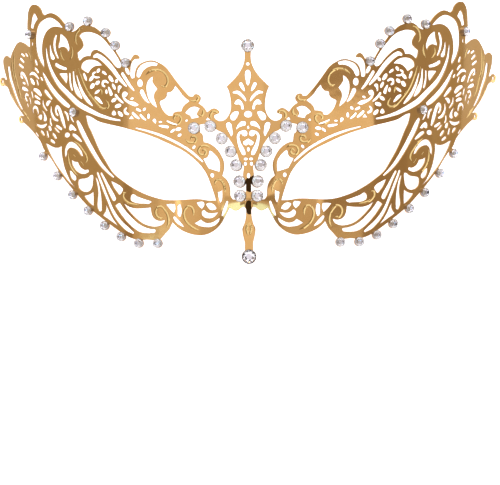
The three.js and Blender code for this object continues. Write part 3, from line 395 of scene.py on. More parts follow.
CREST = [
    loop([93.4, 60.7, 1], [94.6, 59.2], [95.3, 57], [95.7, 55, 1], [94, 54.4, 1], [93.4, 56],
        [91.4, 58.1, 1], [92.2, 59.4]),
    oval(94.7, 48.4, 1.6, 0.9, 90),
    loop([77.3, 53.4, 1], [79.8, 55.8], [82, 57.2], [84, 57.9], [86, 57.9], [88.2, 57.3], [90.2, 56.3],
        [91.5, 54.6], [92.3, 52.2], [92.5, 49.6], [92.3, 46.4], [91.4, 43.6], [90, 41.2],
        [87.6, 38.3, 1], [87.8, 40.5], [88.7, 43.4], [88.9, 46.4], [88.5, 48.8], [87.6, 51], [86, 52.9],
        [83.8, 54], [81.6, 54.3], [79.4, 54]),
    loop([78.8, 51.2, 1], [77, 50.2], [75.6, 48.9], [74.6, 47], [74.1, 45.2], [74.6, 43.4, 1],
        [75.4, 45.2], [76.8, 46], [78.4, 46], [79.9, 45.5, 1], [79.8, 46.6], [79.2, 48.2]),
    slot([81, 50.5, 0.9], [81.6, 49.2, 1.3], [82, 47.2, 1.3], [81.6, 44.8, 1.1], [80.7, 42.9, 0.8],
        [79.9, 41.7, 0.5]),
    slot([84.3, 47.2, 0.5], [84.2, 45.6, 0.9], [83.8, 43.8, 1.4], [83.1, 42.4, 1.8], [82.5, 41.9, 1.4]),
    slot([86.6, 46.2, 0.5], [86.3, 44, 0.9], [85.8, 41.5, 1.2], [84.8, 39, 1.4], [83.4, 36.4, 1.5],
        [81.4, 33.5, 1.6], [79, 30.8, 1.8], [76, 28.3, 1.9], [73, 25.8, 2], [70, 23.4, 2],
        [66.6, 21.5, 1.9], [63, 19.8, 1.6], [60, 18.5, 1.3], [56.6, 17.4, 1], [53.6, 16.6, 0.8],
        [50.8, 16.1, 0.5]),
    slot([88.5, 36.4, 0.6], [87.5, 35, 1.1], [86, 32.8, 1.5], [83.6, 29.9, 1.8], [81, 27.3, 1.9],
        [78.4, 25.1, 1.9], [76.2, 23.5, 1.8], [74.7, 22.6, 1.4]),
    slot([81.1, 39.3, 1.2], [79.5, 38.4, 1.3], [77.6, 37.7, 1.2], [75.9, 37.3, 0.9]),
]

FAN = [
    loop([79.5, 35.6, 1], [77.4, 35.6], [75.3, 35.4, 1], [75.2, 33.2], [75.6, 31.4, 1], [77.4, 33.4]),
    slot([74, 35.2, 0.8], [73.9, 32.5, 0.9], [73.4, 30.2, 1], [72.8, 28.8, 0.7]),
    slot([72.2, 35.8, 0.7], [72, 33, 1], [71.3, 30, 1.8], [70, 27.6, 1.9], [68.9, 26.2, 1.2],
        [68.1, 25.3, 0.5]),
    slot([70.5, 34.2, 0.5], [69.8, 32, 0.8], [68.8, 29.4, 1.2], [67, 26.3, 1.4], [65, 24, 1.3],
        [63.2, 22.3, 0.5]),
    slot([67, 34.6, 1], [66.4, 33.4, 1.2], [65.9, 32.4, 0.7]),
    slot([61.8, 35.1, 0.7], [62.8, 34.5, 0.9], [62.4, 33.6, 0.7], [61.2, 33.1, 0.7], [59.9, 33.1, 0.5]),
    oval(60.3, 35.7, 2, 1.4, -40),
    slot([58.2, 35.1, 0.9], [57.4, 34.6, 0.9], [56.8, 34.1, 0.6]),
    oval(63.5, 32.8, 2.7, 1.5, -40),
    oval(60.7, 31, 2.3, 1.5, -25),
    oval(63.1, 29.9, 2.6, 1.8, -40),
    slot([56, 30.9, 0.7], [57.1, 31.5, 0.9], [58.2, 31.2, 1.1], [58.3, 30.1, 1], [57.5, 29.5, 0.7]),
    slot([55.2, 33, 1.3], [54.5, 32.1, 1.5], [53.9, 31.4, 0.9]),
    oval(52.2, 31.3, 1.6, 1.3, -40),
    slot([55.7, 28.9, 0.7], [55.2, 27.9, 1.2], [54.6, 26.4, 1.4]),
    oval(56.7, 27.4, 1.8, 1.1, 80),
    oval(60.9, 27.5, 2.7, 1.1, -28),
    slot([61.7, 25.4, 0.8], [60.4, 24.6, 1.3], [59.2, 23.4, 0.9], [58.6, 22.9, 0.5]),
    slot([53.8, 29.9, 1], [53.3, 29.1, 1.2], [52.9, 28.4, 0.8]),
    loop([51.6, 29.2], [50.9, 29.6], [49.9, 28.9], [50.6, 28.2], [51, 27.4], [51.1, 26.6], [51.6, 27],
        [51.7, 28.2]),
    oval(53.4, 24, 2.5, 1.4, -25),
    oval(51.6, 21.7, 2.9, 1.5, -12),
    slot([52.6, 25.9, 0.9], [51.4, 24.5, 0.9], [50.2, 23.4, 0.8], [49.4, 22.8, 0.5]),
    loop([54.4, 18.7], [53.4, 20], [52.7, 19.3], [52.5, 18.4], [53.5, 18.1]),
    slot([51.3, 19.2, 1], [50.7, 18.6, 1.5], [50, 18, 1.1]),
    # comma with its tail
    loop([49.8, 26.2], [49.2, 27], [48.2, 27], [47.4, 26.3], [47.8, 25.4], [48.7, 24.9, 1], [47.8, 24],
        [46.4, 23.3], [44.6, 23], [42.7, 21.8, 1], [44.2, 21.3], [46, 21.9], [47.8, 22.9], [49.2, 24.2]),
    oval(45.6, 24.3, 1.5, 0.9, -15),
    slot([48, 20.7, 0.6], [48.7, 19.9, 1], [48.3, 18.9, 1.1], [47.3, 18.4, 0.8]),
    slot([43.6, 20.2, 0.9], [42.8, 19.8, 1], [42.1, 19.5, 0.7]),
    oval(40.5, 20, 1.6, 1.1, -35),
    slot([45.3, 18.7, 1], [44, 17.5, 1.1], [42.8, 16.6, 0.7]),
    loop([45.9, 17.9, 1], [44.9, 16.5, 1], [47, 16.5, 1]),
    slot([42.1, 17.9, 0.8], [41.2, 16.9, 0.9], [40, 16, 0.6]),
    oval(38.8, 17.3, 2, 1.2, 90),
    loop([37.2, 15.7], [36.6, 16.3], [35.8, 16], [35.7, 15.2], [35.9, 14.4], [36.6, 15]),
]

FEATHER = [
    slot([111, 40, 1.6], [110.5, 38.2, 1.9], [109.7, 35.6, 1.8], [108.2, 32.8, 1.7], [106.6, 30, 1.5],
        [104.9, 27, 1.4], [103, 24.4, 1.1], [101.5, 22.8, 0.7]),
    slot([102, 45, 0.6], [101, 44.6, 0.8], [99.9, 43.9, 0.7]),
    slot([99.1, 44.9, 0.7], [98.4, 44.3, 0.8], [97.7, 43.7, 0.6]),
    slot([102.6, 43.2, 0.9], [101.5, 42.5, 1], [100.2, 41.5, 0.7]),
    slot([103.6, 41, 0.7], [102.3, 40.3, 1], [100.7, 39.4, 0.8]),
    slot([92.9, 41.6, 1], [92.3, 40.5, 1.1], [91.9, 39.9, 0.7]),
    slot([93.1, 38.6, 0.8], [92, 37.7, 1], [91.2, 36.8, 0.8]),
    slot([101, 35.2, 0.6], [102.2, 36, 1.1], [102.2, 37.2, 1.3], [100.9, 36.9, 1.3], [99.5, 35.6, 1.2],
        [98.3, 33.8, 1], [97.6, 32.2, 0.8]),
    slot([96.5, 36.3, 0.7], [95.3, 36.7, 1.1], [93.8, 36.5, 1.1], [92.3, 35.5, 0.9], [91, 34.3, 0.6]),
    slot([89.9, 34.8, 0.5], [89.2, 34.1, 0.9], [88.6, 33.5, 0.5]),
    slot([92.2, 33.8, 0.7], [91.7, 32.8, 0.9], [91.2, 31.8, 0.6]),
    slot([96, 34.5, 1], [94.8, 33.4, 1.7], [93.8, 32.5, 1.1]),
    slot([101.2, 33.5, 0.6], [100.2, 33.1, 0.9], [99.5, 32.8, 0.7]),
    slot([101.4, 31.3, 1], [100.2, 30.9, 1.5], [98.6, 30.4, 1], [97.6, 29.9, 0.5]),
    slot([97.6, 28.1, 0.8], [98.9, 28.6, 1], [99.5, 27.7, 1.1], [98.9, 26.6, 1], [98.2, 25.9, 0.7]),
    slot([96.7, 27, 0.8], [96.3, 25.9, 0.9], [96, 24.7, 0.7]),
    slot([98.1, 24.7, 0.8], [97.6, 23.7, 0.8]),
    slot([95.4, 29.2, 0.9], [95, 28.2, 1], [94.6, 27, 0.7]),
    slot([94, 30.2, 1], [92.6, 29.8, 1.5], [91, 28.8, 1.8], [89.8, 27.8, 1.2]),
    slot([93.3, 27.7, 0.8], [92.1, 27, 1], [90.3, 26.1, 0.6]),
    slot([93.4, 25.2, 1], [92, 25, 1.4], [90.5, 24.4, 0.9]),
    slot([94.4, 20.9, 0.6], [94.6, 22.2, 0.9], [93.6, 23.2, 1.1], [92.4, 22.8, 1.1], [91.6, 21.4, 1],
        [91.4, 20.6, 0.8]),
    slot([87.2, 29.2, 1.2], [86.2, 28.3, 1.4], [84.8, 27, 1.1], [83.6, 25.9, 0.7]),
    loop([87, 24], [86.4, 25], [84.8, 25.3], [83.9, 25, 1], [85, 24], [85.8, 23.1], [86.4, 23.2]),
    slot([88.6, 25.3, 0.7], [88.5, 24, 0.9], [87.6, 22.7, 0.8], [86.3, 21.4, 0.5]),
    loop([89.5, 22, 1], [88.4, 21.3], [87.3, 20.1], [86.5, 18.8], [86.4, 17.7], [87.3, 17.2],
        [88.4, 17.6], [88.2, 18.8], [88.5, 20.3]),
    loop([91.7, 19.2, 1], [90.3, 20], [89.3, 19.8], [89.1, 18.6], [89.8, 17.8], [90.6, 18.3]),
    slot([92.1, 16.1, 0.6], [90.8, 15.5, 1], [89, 15.2, 1.3], [87.5, 15.5, 1.1], [86.6, 16, 0.6]),
    slot([84.4, 17.9, 0.9], [84.4, 16.6, 1], [83.8, 15.5, 0.8]),
    slot([85.2, 14.9, 1.1], [84.7, 14.3, 1.6], [84.3, 13.8, 1.2]),
    slot([92.8, 12.9, 0.7], [91.6, 11.6, 0.8]),
    slot([89.7, 13.4, 0.8], [88.8, 12.8, 1.1], [88, 11.8, 0.7]),
    slot([86.3, 13, 0.9], [86, 12, 1.1], [85.6, 11, 0.8]),
]

SCROLL_HEART = [
    slot([80.4, 19.3, 0.8], [81.2, 20.2, 1], [81.5, 21.5, 1.2], [80.8, 22.5, 1.5], [79.8, 21.8, 1.6],
        [78.8, 19.8, 1.7], [77.9, 17.4, 1.8], [77.1, 15.4, 1.3], [76.6, 14.3, 0.8]),
    slot([83.9, 22.7, 0.6], [84, 21, 1], [83.2, 19.2, 1.2], [81.9, 17.8, 1.1], [80.4, 17.2, 0.7]),
    slot([81.1, 15.2, 0.8], [79.9, 14.5, 1.1], [78.5, 13.8, 0.9]),
    slot([82, 14.4, 0.5], [81, 13.5, 0.7], [79.7, 12.5, 0.5]),
    slot([83, 12.1, 0.8], [82.2, 11.3, 1.1], [81.4, 10.4, 0.9]),
    slot([84.1, 9.6, 0.9], [83.2, 9.1, 1.1], [82.2, 8.5, 0.7]),
    slot([76.7, 20.5, 0.6], [75.7, 19.6, 1], [75.2, 18.2, 1.1], [74.9, 17.1, 0.7]),
    slot([73.9, 18.8, 0.6], [73.2, 17.6, 0.8], [72.3, 16.3, 0.5]),
    loop([74.5, 13.4], [74.4, 14.8], [73.7, 15.4], [72.6, 14.9], [70.7, 13, 1], [71.8, 12.8],
        [72.7, 13.3], [73.7, 12.9]),
    oval(75.5, 11.3, 2.7, 1.9),
    slot([72.4, 11.3, 1], [71.3, 10.7, 1.3], [69.8, 9.6, 1.2], [68.5, 8.6, 0.6]),
    slot([70.2, 16.2, 1.3], [69.1, 14.3, 1.9], [67.9, 12.1, 2], [66, 9, 1.9], [63.8, 5.6, 1.8],
        [61.3, 2, 1.6], [58.6, -1.4, 1.3], [56, -3.9, 0.9], [53.8, -5.7, 0.5]),
]

LOWER_BAND = [
    loop([87.3, 8.6, 1], [85.4, 7.9], [83.4, 7], [81.5, 6.5], [79.9, 6.5], [78.5, 7], [78.4, 5],
        [77.9, 2], [77, -1.2], [75.4, -4.6], [73.6, -7.4], [70.9, -10.1, 1], [74.5, -7.3], [78.3, -3.5],
        [82.2, 0.8], [85.4, 5.2]),
    loop([76.5, 2.6], [76.9, 4.4], [76.4, 6.6], [75.2, 8.1], [73.4, 8.5], [71.5, 7.8], [69.8, 6.3],
        [68.4, 4.6], [67.6, 2.6, 1], [68.5, 3], [69.6, 4.4], [71, 5.6], [72.6, 6.2], [74.4, 6.2],
        [75.5, 5.2], [75.8, 3.6]),
    loop([73.3, 1.6, 1], [71.8, 0.7], [70.2, 0.4], [69.4, -1], [68, -2.2], [66.6, -2.7], [65.2, -2.6],
        [65, -3.3], [66, -3.9], [67.4, -4.2], [69, -3.9], [70.8, -3], [72.4, -1.3], [73.2, 0.2]),
    loop([74.4, -2.8, 1], [73.8, -2.8], [72.4, -4], [71.2, -5.2], [71.1, -6.2], [71.7, -6.8, 1],
        [73, -6.1], [74.1, -4.6]),
    loop([63.3, -4.7], [64.3, -4.8], [65.4, -5.6], [67, -6], [68.8, -6.1], [70, -6.6], [70.2, -7.8],
        [69.8, -9.4], [68.5, -10.6], [66.6, -11.2], [64.8, -10.9], [63.6, -9.6], [63.1, -7.4]),
    loop([67.3, -12.7, 1], [65.6, -12.5], [64.2, -12], [62.9, -11.2, 1], [62.8, -13.4], [62.8, -16.8, 1],
        [64.4, -15.7], [66, -14.2]),
    slot([61.6, -5.9, 0.4], [61, -7.4, 0.8], [60.5, -9.4, 0.9], [60.1, -12, 1.2], [60.1, -14.6, 1.8],
        [60.1, -17, 2], [59.8, -18.2, 1.4]),
    slot([60.9, -4, 0.8], [60, -6.2, 1], [58.8, -8.8, 1.1], [57.6, -11.6, 1.1], [56.2, -14.6, 1.1],
        [54.6, -18, 1.2], [52.5, -21.3, 1.4], [49.8, -24.2, 1.5], [47.6, -26, 1.5], [45.5, -27.3, 0.7]),
    slot([59.2, -4.2, 0.8], [58, -6.2, 1], [56.8, -8.4, 1.2], [55.4, -11, 1.6], [54.2, -13, 1.8],
        [53.6, -14.1, 1.7]),
    loop([57.6, -15.8, 1], [57.1, -17.8], [57.6, -19.2], [58.6, -20.4, 1], [56.4, -21.8],
        [51.8, -24.7, 1], [53.6, -22.6], [55.4, -19.8], [56.6, -17.4]),
    loop([54.9, -7.2, 1], [52.6, -8.2], [50.6, -9.4], [49.7, -10.5], [50.3, -11.8], [51, -12.5],
        [52.4, -11.2], [53.9, -9.2]),
    loop([45.6, -12.5], [43.6, -13.4], [41.4, -14.2], [39.2, -14.9], [37.8, -15.5], [38.6, -16.1],
        [40.8, -16.1], [43, -16], [45.2, -15.5], [46.3, -14.8], [46.3, -13.2]),
    loop([49.4, -15.9, 1], [47.5, -17.1], [45, -17.9], [42, -18], [38.1, -17.7, 1], [37.9, -19.6],
        [37.2, -21.4], [35.7, -22.6], [34, -22.9], [32.4, -22.5, 1], [33, -23.8], [34.6, -24.7],
        [36.6, -25], [38.6, -24.7], [41, -23.9], [43.4, -22.3], [45.8, -20.2], [48, -17.8]),
    loop([53, -16.8, 1], [52.1, -16.1], [51.2, -15.8], [50, -17.2], [48.4, -19.1], [46, -21.5],
        [43.4, -23.7], [40.6, -25.2], [38.2, -25.9], [36.2, -26.4], [36.4, -27.1], [38, -27.4],
        [40.4, -27.4], [42.6, -27], [45, -25.6], [47.6, -23.4], [50, -20.8]),
]

# Engraved lines, which don't go through the sheet
ENGRAVED = [
    [[78.4, 44.6], [78.5, 43], [77.8, 41.7], [76.7, 40.6]],
    [[72.6, 45.6], [72.5, 43.5], [72.9, 41.8], [73.8, 40.7]],
    [[67.5, 52.6], [69, 52.1], [70.2, 51], [70.9, 49.3], [70.9, 47.8], [70.2, 46.4]],
    [[97.4, 45.6], [96.2, 43.8], [95.5, 41.5]],
    [[106.6, 46.5], [106.9, 43], [106.9, 40], [106.3, 37], [105.2, 34.6], [104.2, 32], [102.9, 29],
     [101.4, 26.6]],
    [[108.7, 44], [108.4, 41], [108, 38.5], [107.2, 36.4], [106.3, 34.4]],
    [[101, 22.2], [99.6, 20.9], [98, 19.4], [96.3, 17.7]],
    [[110.9, 30.8], [109, 28.6], [106.8, 26.6]],
    [[71.2, 36.8], [70.6, 34.4]],
    [[69.6, 37], [68.4, 34], [67.2, 31.2], [65.8, 28.6], [64, 26.2], [61.6, 23.6], [59.6, 21.7], [58, 20.8],
     [56.6, 20.9], [55.7, 21.7], [55.9, 22.8], [56.9, 24.2]],
    [[59.6, 28.7], [58.9, 27.8], [58.6, 26.3]],
    [[39.7, 33.2], [38.2, 34.3], [36.2, 34.9], [34, 34.7], [32.2, 33.6], [31, 31.6], [31, 29.7],
     [32.2, 28.4], [33.6, 28.9]],
    [[31.3, 14.8], [29.5, 14], [27.6, 13.9], [26, 15], [25.7, 16.3], [26.6, 17.3], [28, 17.1], [28.5, 16.2],
     [28, 15.5]],
    [[24, 8.1], [22.9, 7], [21.4, 6.7], [20.1, 7.3], [19.8, 8.4], [20.6, 9.1], [21.7, 8.8], [22, 8]],
    [[14.5, 4.7], [15.6, 5.3], [17, 5.5], [18.4, 5], [19, 3.8], [18.6, 2.6], [17.4, 2], [16.3, 2.6],
     [16.2, 3.6], [17, 4], [17.6, 3.5]],
    [[11.8, 17.4], [11.8, 18.1], [12.6, 18.5], [13.6, 18.4], [14.2, 17.6], [14.3, 16.6], [13.8, 15.8]],
    [[22.2, 23], [20.8, 22.6], [19.6, 22.9], [19, 23.9], [19.6, 24.5]],
    [[17.2, 19.5], [17, 18.5], [17.4, 17.4], [18.3, 17.1], [18.7, 17.8]],
    [[21.2, -21], [21.1, -19.4], [21.8, -17.8], [23, -17.4], [24.2, -18.2], [24.9, -20], [24.6, -21.8],
     [23.8, -23.4], [22.4, -24.8], [20.6, -26], [19, -26.6]],
    [[12.8, -9.3], [12.6, -8.2], [11.6, -7.4], [10.4, -7.8], [9.4, -9.2], [8.9, -11], [8.8, -12.4]],
    [[33.4, -21.6], [34.6, -21.8], [35.7, -20.8], [36.1, -19.2], [35.4, -17.8], [33.9, -17.4], [32.6, -18.6],
     [31.5, -20.2], [31, -22], [31, -23.8], [31.7, -25.3]],
    [[48.3, -11.9], [49.3, -12], [49.6, -13.1], [48.9, -14.5], [47.4, -15.7], [45.2, -16.4], [43, -16.6]],
    [[71.9, 8.7], [69.8, 7.3], [67.6, 4.9], [66.2, 3], [65.8, 1.2], [66.4, 0.1]],
    [[75.1, 4.5], [74.9, 2], [74.4, 0], [73.4, -1.8], [71.8, -3.6], [70.4, -4.6]],
    [[72.3, 3.6], [71.4, 2.6]],
    [[68.8, 0.9], [67.4, -0.8]],
    [[0.3, -23.8], [0.7, -25.1], [0.8, -26.3], [0.6, -27.5], [0.3, -28.5]],
]

# Painted dark reflections, dark brown, on the ridge of the nose above and below the lower pair of bridge
# stones
PAINTED_DARK_REFLECTIONS = [
    loop([0.3, -6.7], [1.2, -6.3], [2.6, -5.4], [2.7, -6.1], [1.5, -7.3], [1.3, -9.4], [1.4, -11.6],
        [0.6, -12.3], [-0.6, -11.9], [-1.2, -10.6], [-1.1, -8.6], [-0.8, -7.2]),
    loop([0, -15.4], [0.8, -15.8], [0.9, -17.4], [1.3, -19.4], [0.9, -20.5], [0, -20.7], [-0.8, -20],
        [-1.2, -18.4], [-1.1, -16.6], [-0.7, -15.7]),
]


# Stones: place on the half pattern, as in the solid part
CREST_STONES = [[95.6, 52.2], [73.5, 53.6], [64.7, 55.1], [56.5, 50.1], [52.4, 45], [48, 38.1], [71.8, 20]]
BROW_STONES = [[20.6, 12.3], [14.4, 12.9], [10.1, 8.2], [6.7, 3.2], [4.5, -2.1]]
BRIDGE_STONES = [[3.2, -8.3], [2.95, -13.7]]
RIM_STONES = [[88, 3.4], [80.2, -4.6], [72.5, -12.2], [65, -18.5], [57.5, -24.4], [50.3, -28.7],
              [42.9, -31.3], [35.2, -31.4]]
CROWN_STONE = [0, 43.4]
DROP_STONE = [0, -36.7]
STONE_GROUPS = [("crest_stone", CREST_STONES, 3.5), ("brow_stone", BROW_STONES, 4.3),
                ("bridge_stone", BRIDGE_STONES, 4.4), ("rim_stone", RIM_STONES, 3.3)]
CROWN_WIDTH = 4.7
DROP_WIDTH = 5.3

# Ribbon eyelets: place, width over the ring and width of its hole
EYELETS = [[115.6, 34.8, 3.6, 1.5], [102.2, 18.7, 3.2, 1.3]]


# The flat sheet

# Finishes of the sheet's triangles: SHADED is painted shade on one flank of an engraved line, DARK a painted
# dark reflection on the nose ridge, and the cut edges' darker tone is painted shade
PLAIN, CUT, ETCHED, SHADED, DARK = range(5)


def mirrored(line):
    return np.column_stack([-line[:, 0], line[:, 1:]])


def paired(lines):
    return [*lines, *map(mirrored, lines)]


def thinned(line):
    """Leaves out every point that the straight line between its kept neighbours passes within the slack
    of, by splitting each stretch at its farthest point while that one lies too far off."""
    kept = [0, len(line) - 1]
    stretches = [(0, len(line) - 1)]
    while stretches:
        a, b = stretches.pop()
        if b - a < 2:
            continue
        along = line[b, :2] - line[a, :2]
        off = line[a + 1:b, :2] - line[a, :2]
        length = math.hypot(*along)
        aside = np.abs(along[0] * off[:, 1] - along[1] * off[:, 0])
        far = aside / length if length > NO_LENGTH else np.hypot(*off.T)
        split = a + 1 + int(far.argmax())
        if far.max() > CURVE_SLACK:
            kept.append(split)
            stretches += [(a, split), (split, b)]
    return line[sorted(kept)]


def inside(places, outline):
    """Which of the places lie in the closed outline: those with an odd number of its crossings to their
    right."""
    found = np.zeros(len(places), bool)
    low, high = outline.min(0), outline.max(0)
    near = np.flatnonzero(((places > low) & (places < high)).all(1))
    x, y = places[near].T
    odd = np.zeros(len(near), bool)
    for (a, b), (c, d) in zip(outline, np.roll(outline, -1, axis=0)):
        crossed = np.flatnonzero((b > y) != (d > y))
        odd[crossed] ^= x[crossed] < a + (y[crossed] - b) * (c - a) / (d - b)
    found[near] = odd
    return found


def neck(s, y):
    """The strip that joins a tab outside the outline to the sheet: a rectangle from the tab's middle
    straight to the nearest point of the outline and a little beyond."""
    middle = np.array([s, y])
    nearest = OUTLINE[np.linalg.norm(OUTLINE - middle, axis=1).argmin()]
    along = (nearest - middle) / np.linalg.norm(nearest - middle)
    across = np.array([-along[1], along[0]]) * NECK_WIDTH / 2
    end = nearest + along * NECK_REACH
    return np.array([middle - across, end - across, end + across, middle + across])


def groove(points):
    """The two sides of an engraved line as one closed outline, and its middle with the depth there. The
    line narrows and rises toward its ends."""
    spine = [[s, y, ENGRAVED_WIDTH] for s, y in points]
    spine[0][2] = spine[-1][2] = ENGRAVED_TIP * ENGRAVED_WIDTH
    middle = through(spine, False)[1:-1]
    middle[:, 2] *= ENGRAVED_DEPTH / ENGRAVED_WIDTH
    return slot(*spine), middle


def flat_sheet():
    """The flat sheet's points, its triangles, the depth of each point and the finish of each triangle.
    Every outline goes in as fixed edges. A triangle is metal when its middle lies inside the outer outline
    and no opening, or on a tab or ring, and isn't in an eyelet's hole."""
    whole = np.vstack([OUTLINE, mirrored(OUTLINE)[-2:0:-1]])
    openings = [*paired([EYE, *EYE_LOOP, *TOWER, *BROW, *LEAF_SCROLL, *WING_TOP, *CREST, *FAN, *FEATHER,
                         *SCROLL_HEART, *LOWER_BAND]), *TOWER_MIDDLE]
    round_tabs = [disc(*stone, width + 2 * TAB_MARGIN)
                  for _, stones, width in STONE_GROUPS for stone in stones]
    # the last crest stone stands on the wing itself and needs no neck
    necks = [neck(*stone) for stone in CREST_STONES[:-1] + RIM_STONES]
    tabs = [*paired(round_tabs), *paired(necks),
            disc(*CROWN_STONE, CROWN_WIDTH + 2 * TAB_MARGIN),
            disc(*DROP_STONE, DROP_WIDTH + 2 * TAB_MARGIN)]
    rings = paired([disc(s, y, width) for s, y, width, hole in EYELETS])
    holes = paired([disc(s, y, hole) for s, y, width, hole in EYELETS])
    grooves = [groove(line) for line in ENGRAVED]
    sides = paired([side for side, middle in grooves])
    middles = paired([middle for side, middle in grooves])
    for middle in middles:
        middle[:, :2] -= middle[:, 2:] * SHADED_LEAN[:2]

    points, edges, deep = [], [], {}

    def draw(line, closed):
        kept = thinned(np.vstack([line, line[:1]]) if closed else line)
        kept = kept[:-1] if closed else kept
        numbers = range(len(points), len(points) + len(kept))
        points.extend(kept[:, :2])
        edges.extend(zip(numbers[:-1], numbers[1:]))
        if closed:
            edges.append((numbers[-1], numbers[0]))
        return numbers, kept

    for outline in [whole, *openings, *tabs, *rings, *holes, *sides, *PAINTED_DARK_REFLECTIONS]:
        draw(outline, True)
    for line in middles:
        numbers, kept = draw(line, False)
        deep.update(zip(numbers, kept[:, 2]))
    for left, right, low, high, gap in INNER_POINTS:
        across, up = np.meshgrid(np.arange(left, right, gap), np.arange(low, high, gap))
        across[::2] += gap / 2
        points.extend(np.column_stack([across.ravel(), up.ravel()]))

    verts, _, faces, origin, _, _ = delaunay_2d_cdt([Vector(p) for p in points], edges, [], 0, SAME_POINT)
    flat = np.array(verts)
    faces = np.array([f for f in faces if len(f) == 3])
    middle = flat[faces].mean(1)
    metal = inside(middle, whole)
    for outline in openings:
        metal &= ~inside(middle, outline)
    for outline in [*tabs, *rings]:
        metal |= inside(middle, outline)
    for outline in holes:
        metal &= ~inside(middle, outline)
    faces = faces[metal]
    finish = np.full(len(faces), PLAIN)
    # Triangles inside the painted dark reflections on the nose ridge
    for outline in PAINTED_DARK_REFLECTIONS:
        finish[inside(middle[metal], outline)] = DARK
    for outline in sides:
        finish[inside(middle[metal], outline)] = ETCHED
    used, faces = np.unique(faces, return_inverse=True)
    faces = faces.reshape(-1, 3)
    depth = np.array([max((deep.get(number, 0) for number in origin[i]), default=0) for i in used])
    return flat[used], faces, depth, finish


# The bend


def bent(flat, raised):
    """Where points of the flat sheet lie once it is bent, raised from the middle of its thickness, and the
    way it faces there: a round bend about an upright axis, straight at its ends, with the nose bridge
    swelling forward of it as a bell curve both ways."""
    s, y = flat.T
    rounded = s.clip(-STRAIGHT_FROM, STRAIGHT_FROM)
    turn = rounded / BEND_RADIUS
    swell = NOSE_RISE * np.exp(-(s / NOSE_HALF_WIDTH) ** 2 - ((y - NOSE_MIDDLE) / NOSE_REACH) ** 2)
    zero = np.zeros(len(s))
    outward = np.column_stack([np.sin(turn), zero, np.cos(turn)])
    sideways = np.column_stack([np.cos(turn), zero, -np.sin(turn)])
    upward = np.array([0, 1, 0])
    facing = (outward + sideways * (2 * s / NOSE_HALF_WIDTH**2 * swell)[:, None]
              + upward * (2 * (y - NOSE_MIDDLE) / NOSE_REACH**2 * swell)[:, None])
    facing /= np.linalg.norm(facing, axis=1)[:, None]
    place = (outward * (BEND_RADIUS + swell)[:, None] + sideways * (s - rounded)[:, None]
             + np.column_stack([zero, y, zero - BEND_RADIUS]) + facing * np.reshape(raised, (-1, 1)))
    return place, facing


TILT = np.array(Matrix.Rotation(LYING_TILT, 3, "X"))


def lying_offset(flat):
    """How far the tilted mask is moved, so that its box has the middle and the underside of the solid's."""
    places = np.vstack([bent(flat, side * SHEET_THICKNESS / 2)[0] for side in (-1, 1)]) @ TILT.T * MM
    low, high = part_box("filigree_plate")
    return np.array([0, (low.y + high.y) / 2 - (places[:, 1].min() + places[:, 1].max()) / 2,
                     low.z - places[:, 2].min()])


def rim_of(flat, faces):
    """The edges that belong to one triangle only, each with metal on its left, and for every point the way
    into the metal, as far as brings both its edges in by one."""
    sides = np.vstack([faces[:, [0, 1]], faces[:, [1, 2]], faces[:, [2, 0]]])
    key = sides.min(1) * len(flat) + sides.max(1)
    _, first, uses = np.unique(key, return_index=True, return_counts=True)
    rim = sides[first[uses == 1]]
    along = flat[rim[:, 1]] - flat[rim[:, 0]]
    along /= np.linalg.norm(along, axis=1).clip(NO_LENGTH)[:, None]
    normal = np.column_stack([-along[:, 1], along[:, 0]])
    inward = np.zeros_like(flat)
    np.add.at(inward, rim[:, 0], normal)
    np.add.at(inward, rim[:, 1], normal)
    length = np.linalg.norm(inward, axis=1)
    inward[length > 0] *= (2 / length[length > 0] ** 2).clip(0, 1)[:, None]
    return rim, inward


def new_piece(name, places, faces, slot_name, *replaced):
    mesh = bpy.data.meshes.new(name)
    mesh.from_pydata(places.tolist(), [], faces)
    mesh.update()
    piece = bpy.data.objects.new(name, mesh)
    bpy.context.scene.collection.objects.link(piece)
    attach(piece, "root")
    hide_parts(*replaced)
    return piece


flat, faces, depth, finish = flat_sheet()
PLACE = lying_offset(flat)


def in_row(places):
    return places @ TILT.T * MM + PLACE


def flank_normals(plane, surface):
    """The way the side of an engraved line faces, for its shading to look round-bottomed: twice the slope
    that its straight flank has against the sheet."""
    level = (plane * surface).sum(1, keepdims=True)
    steep = 2 * plane / level - surface
    return steep / np.linalg.norm(steep, axis=1)[:, None]


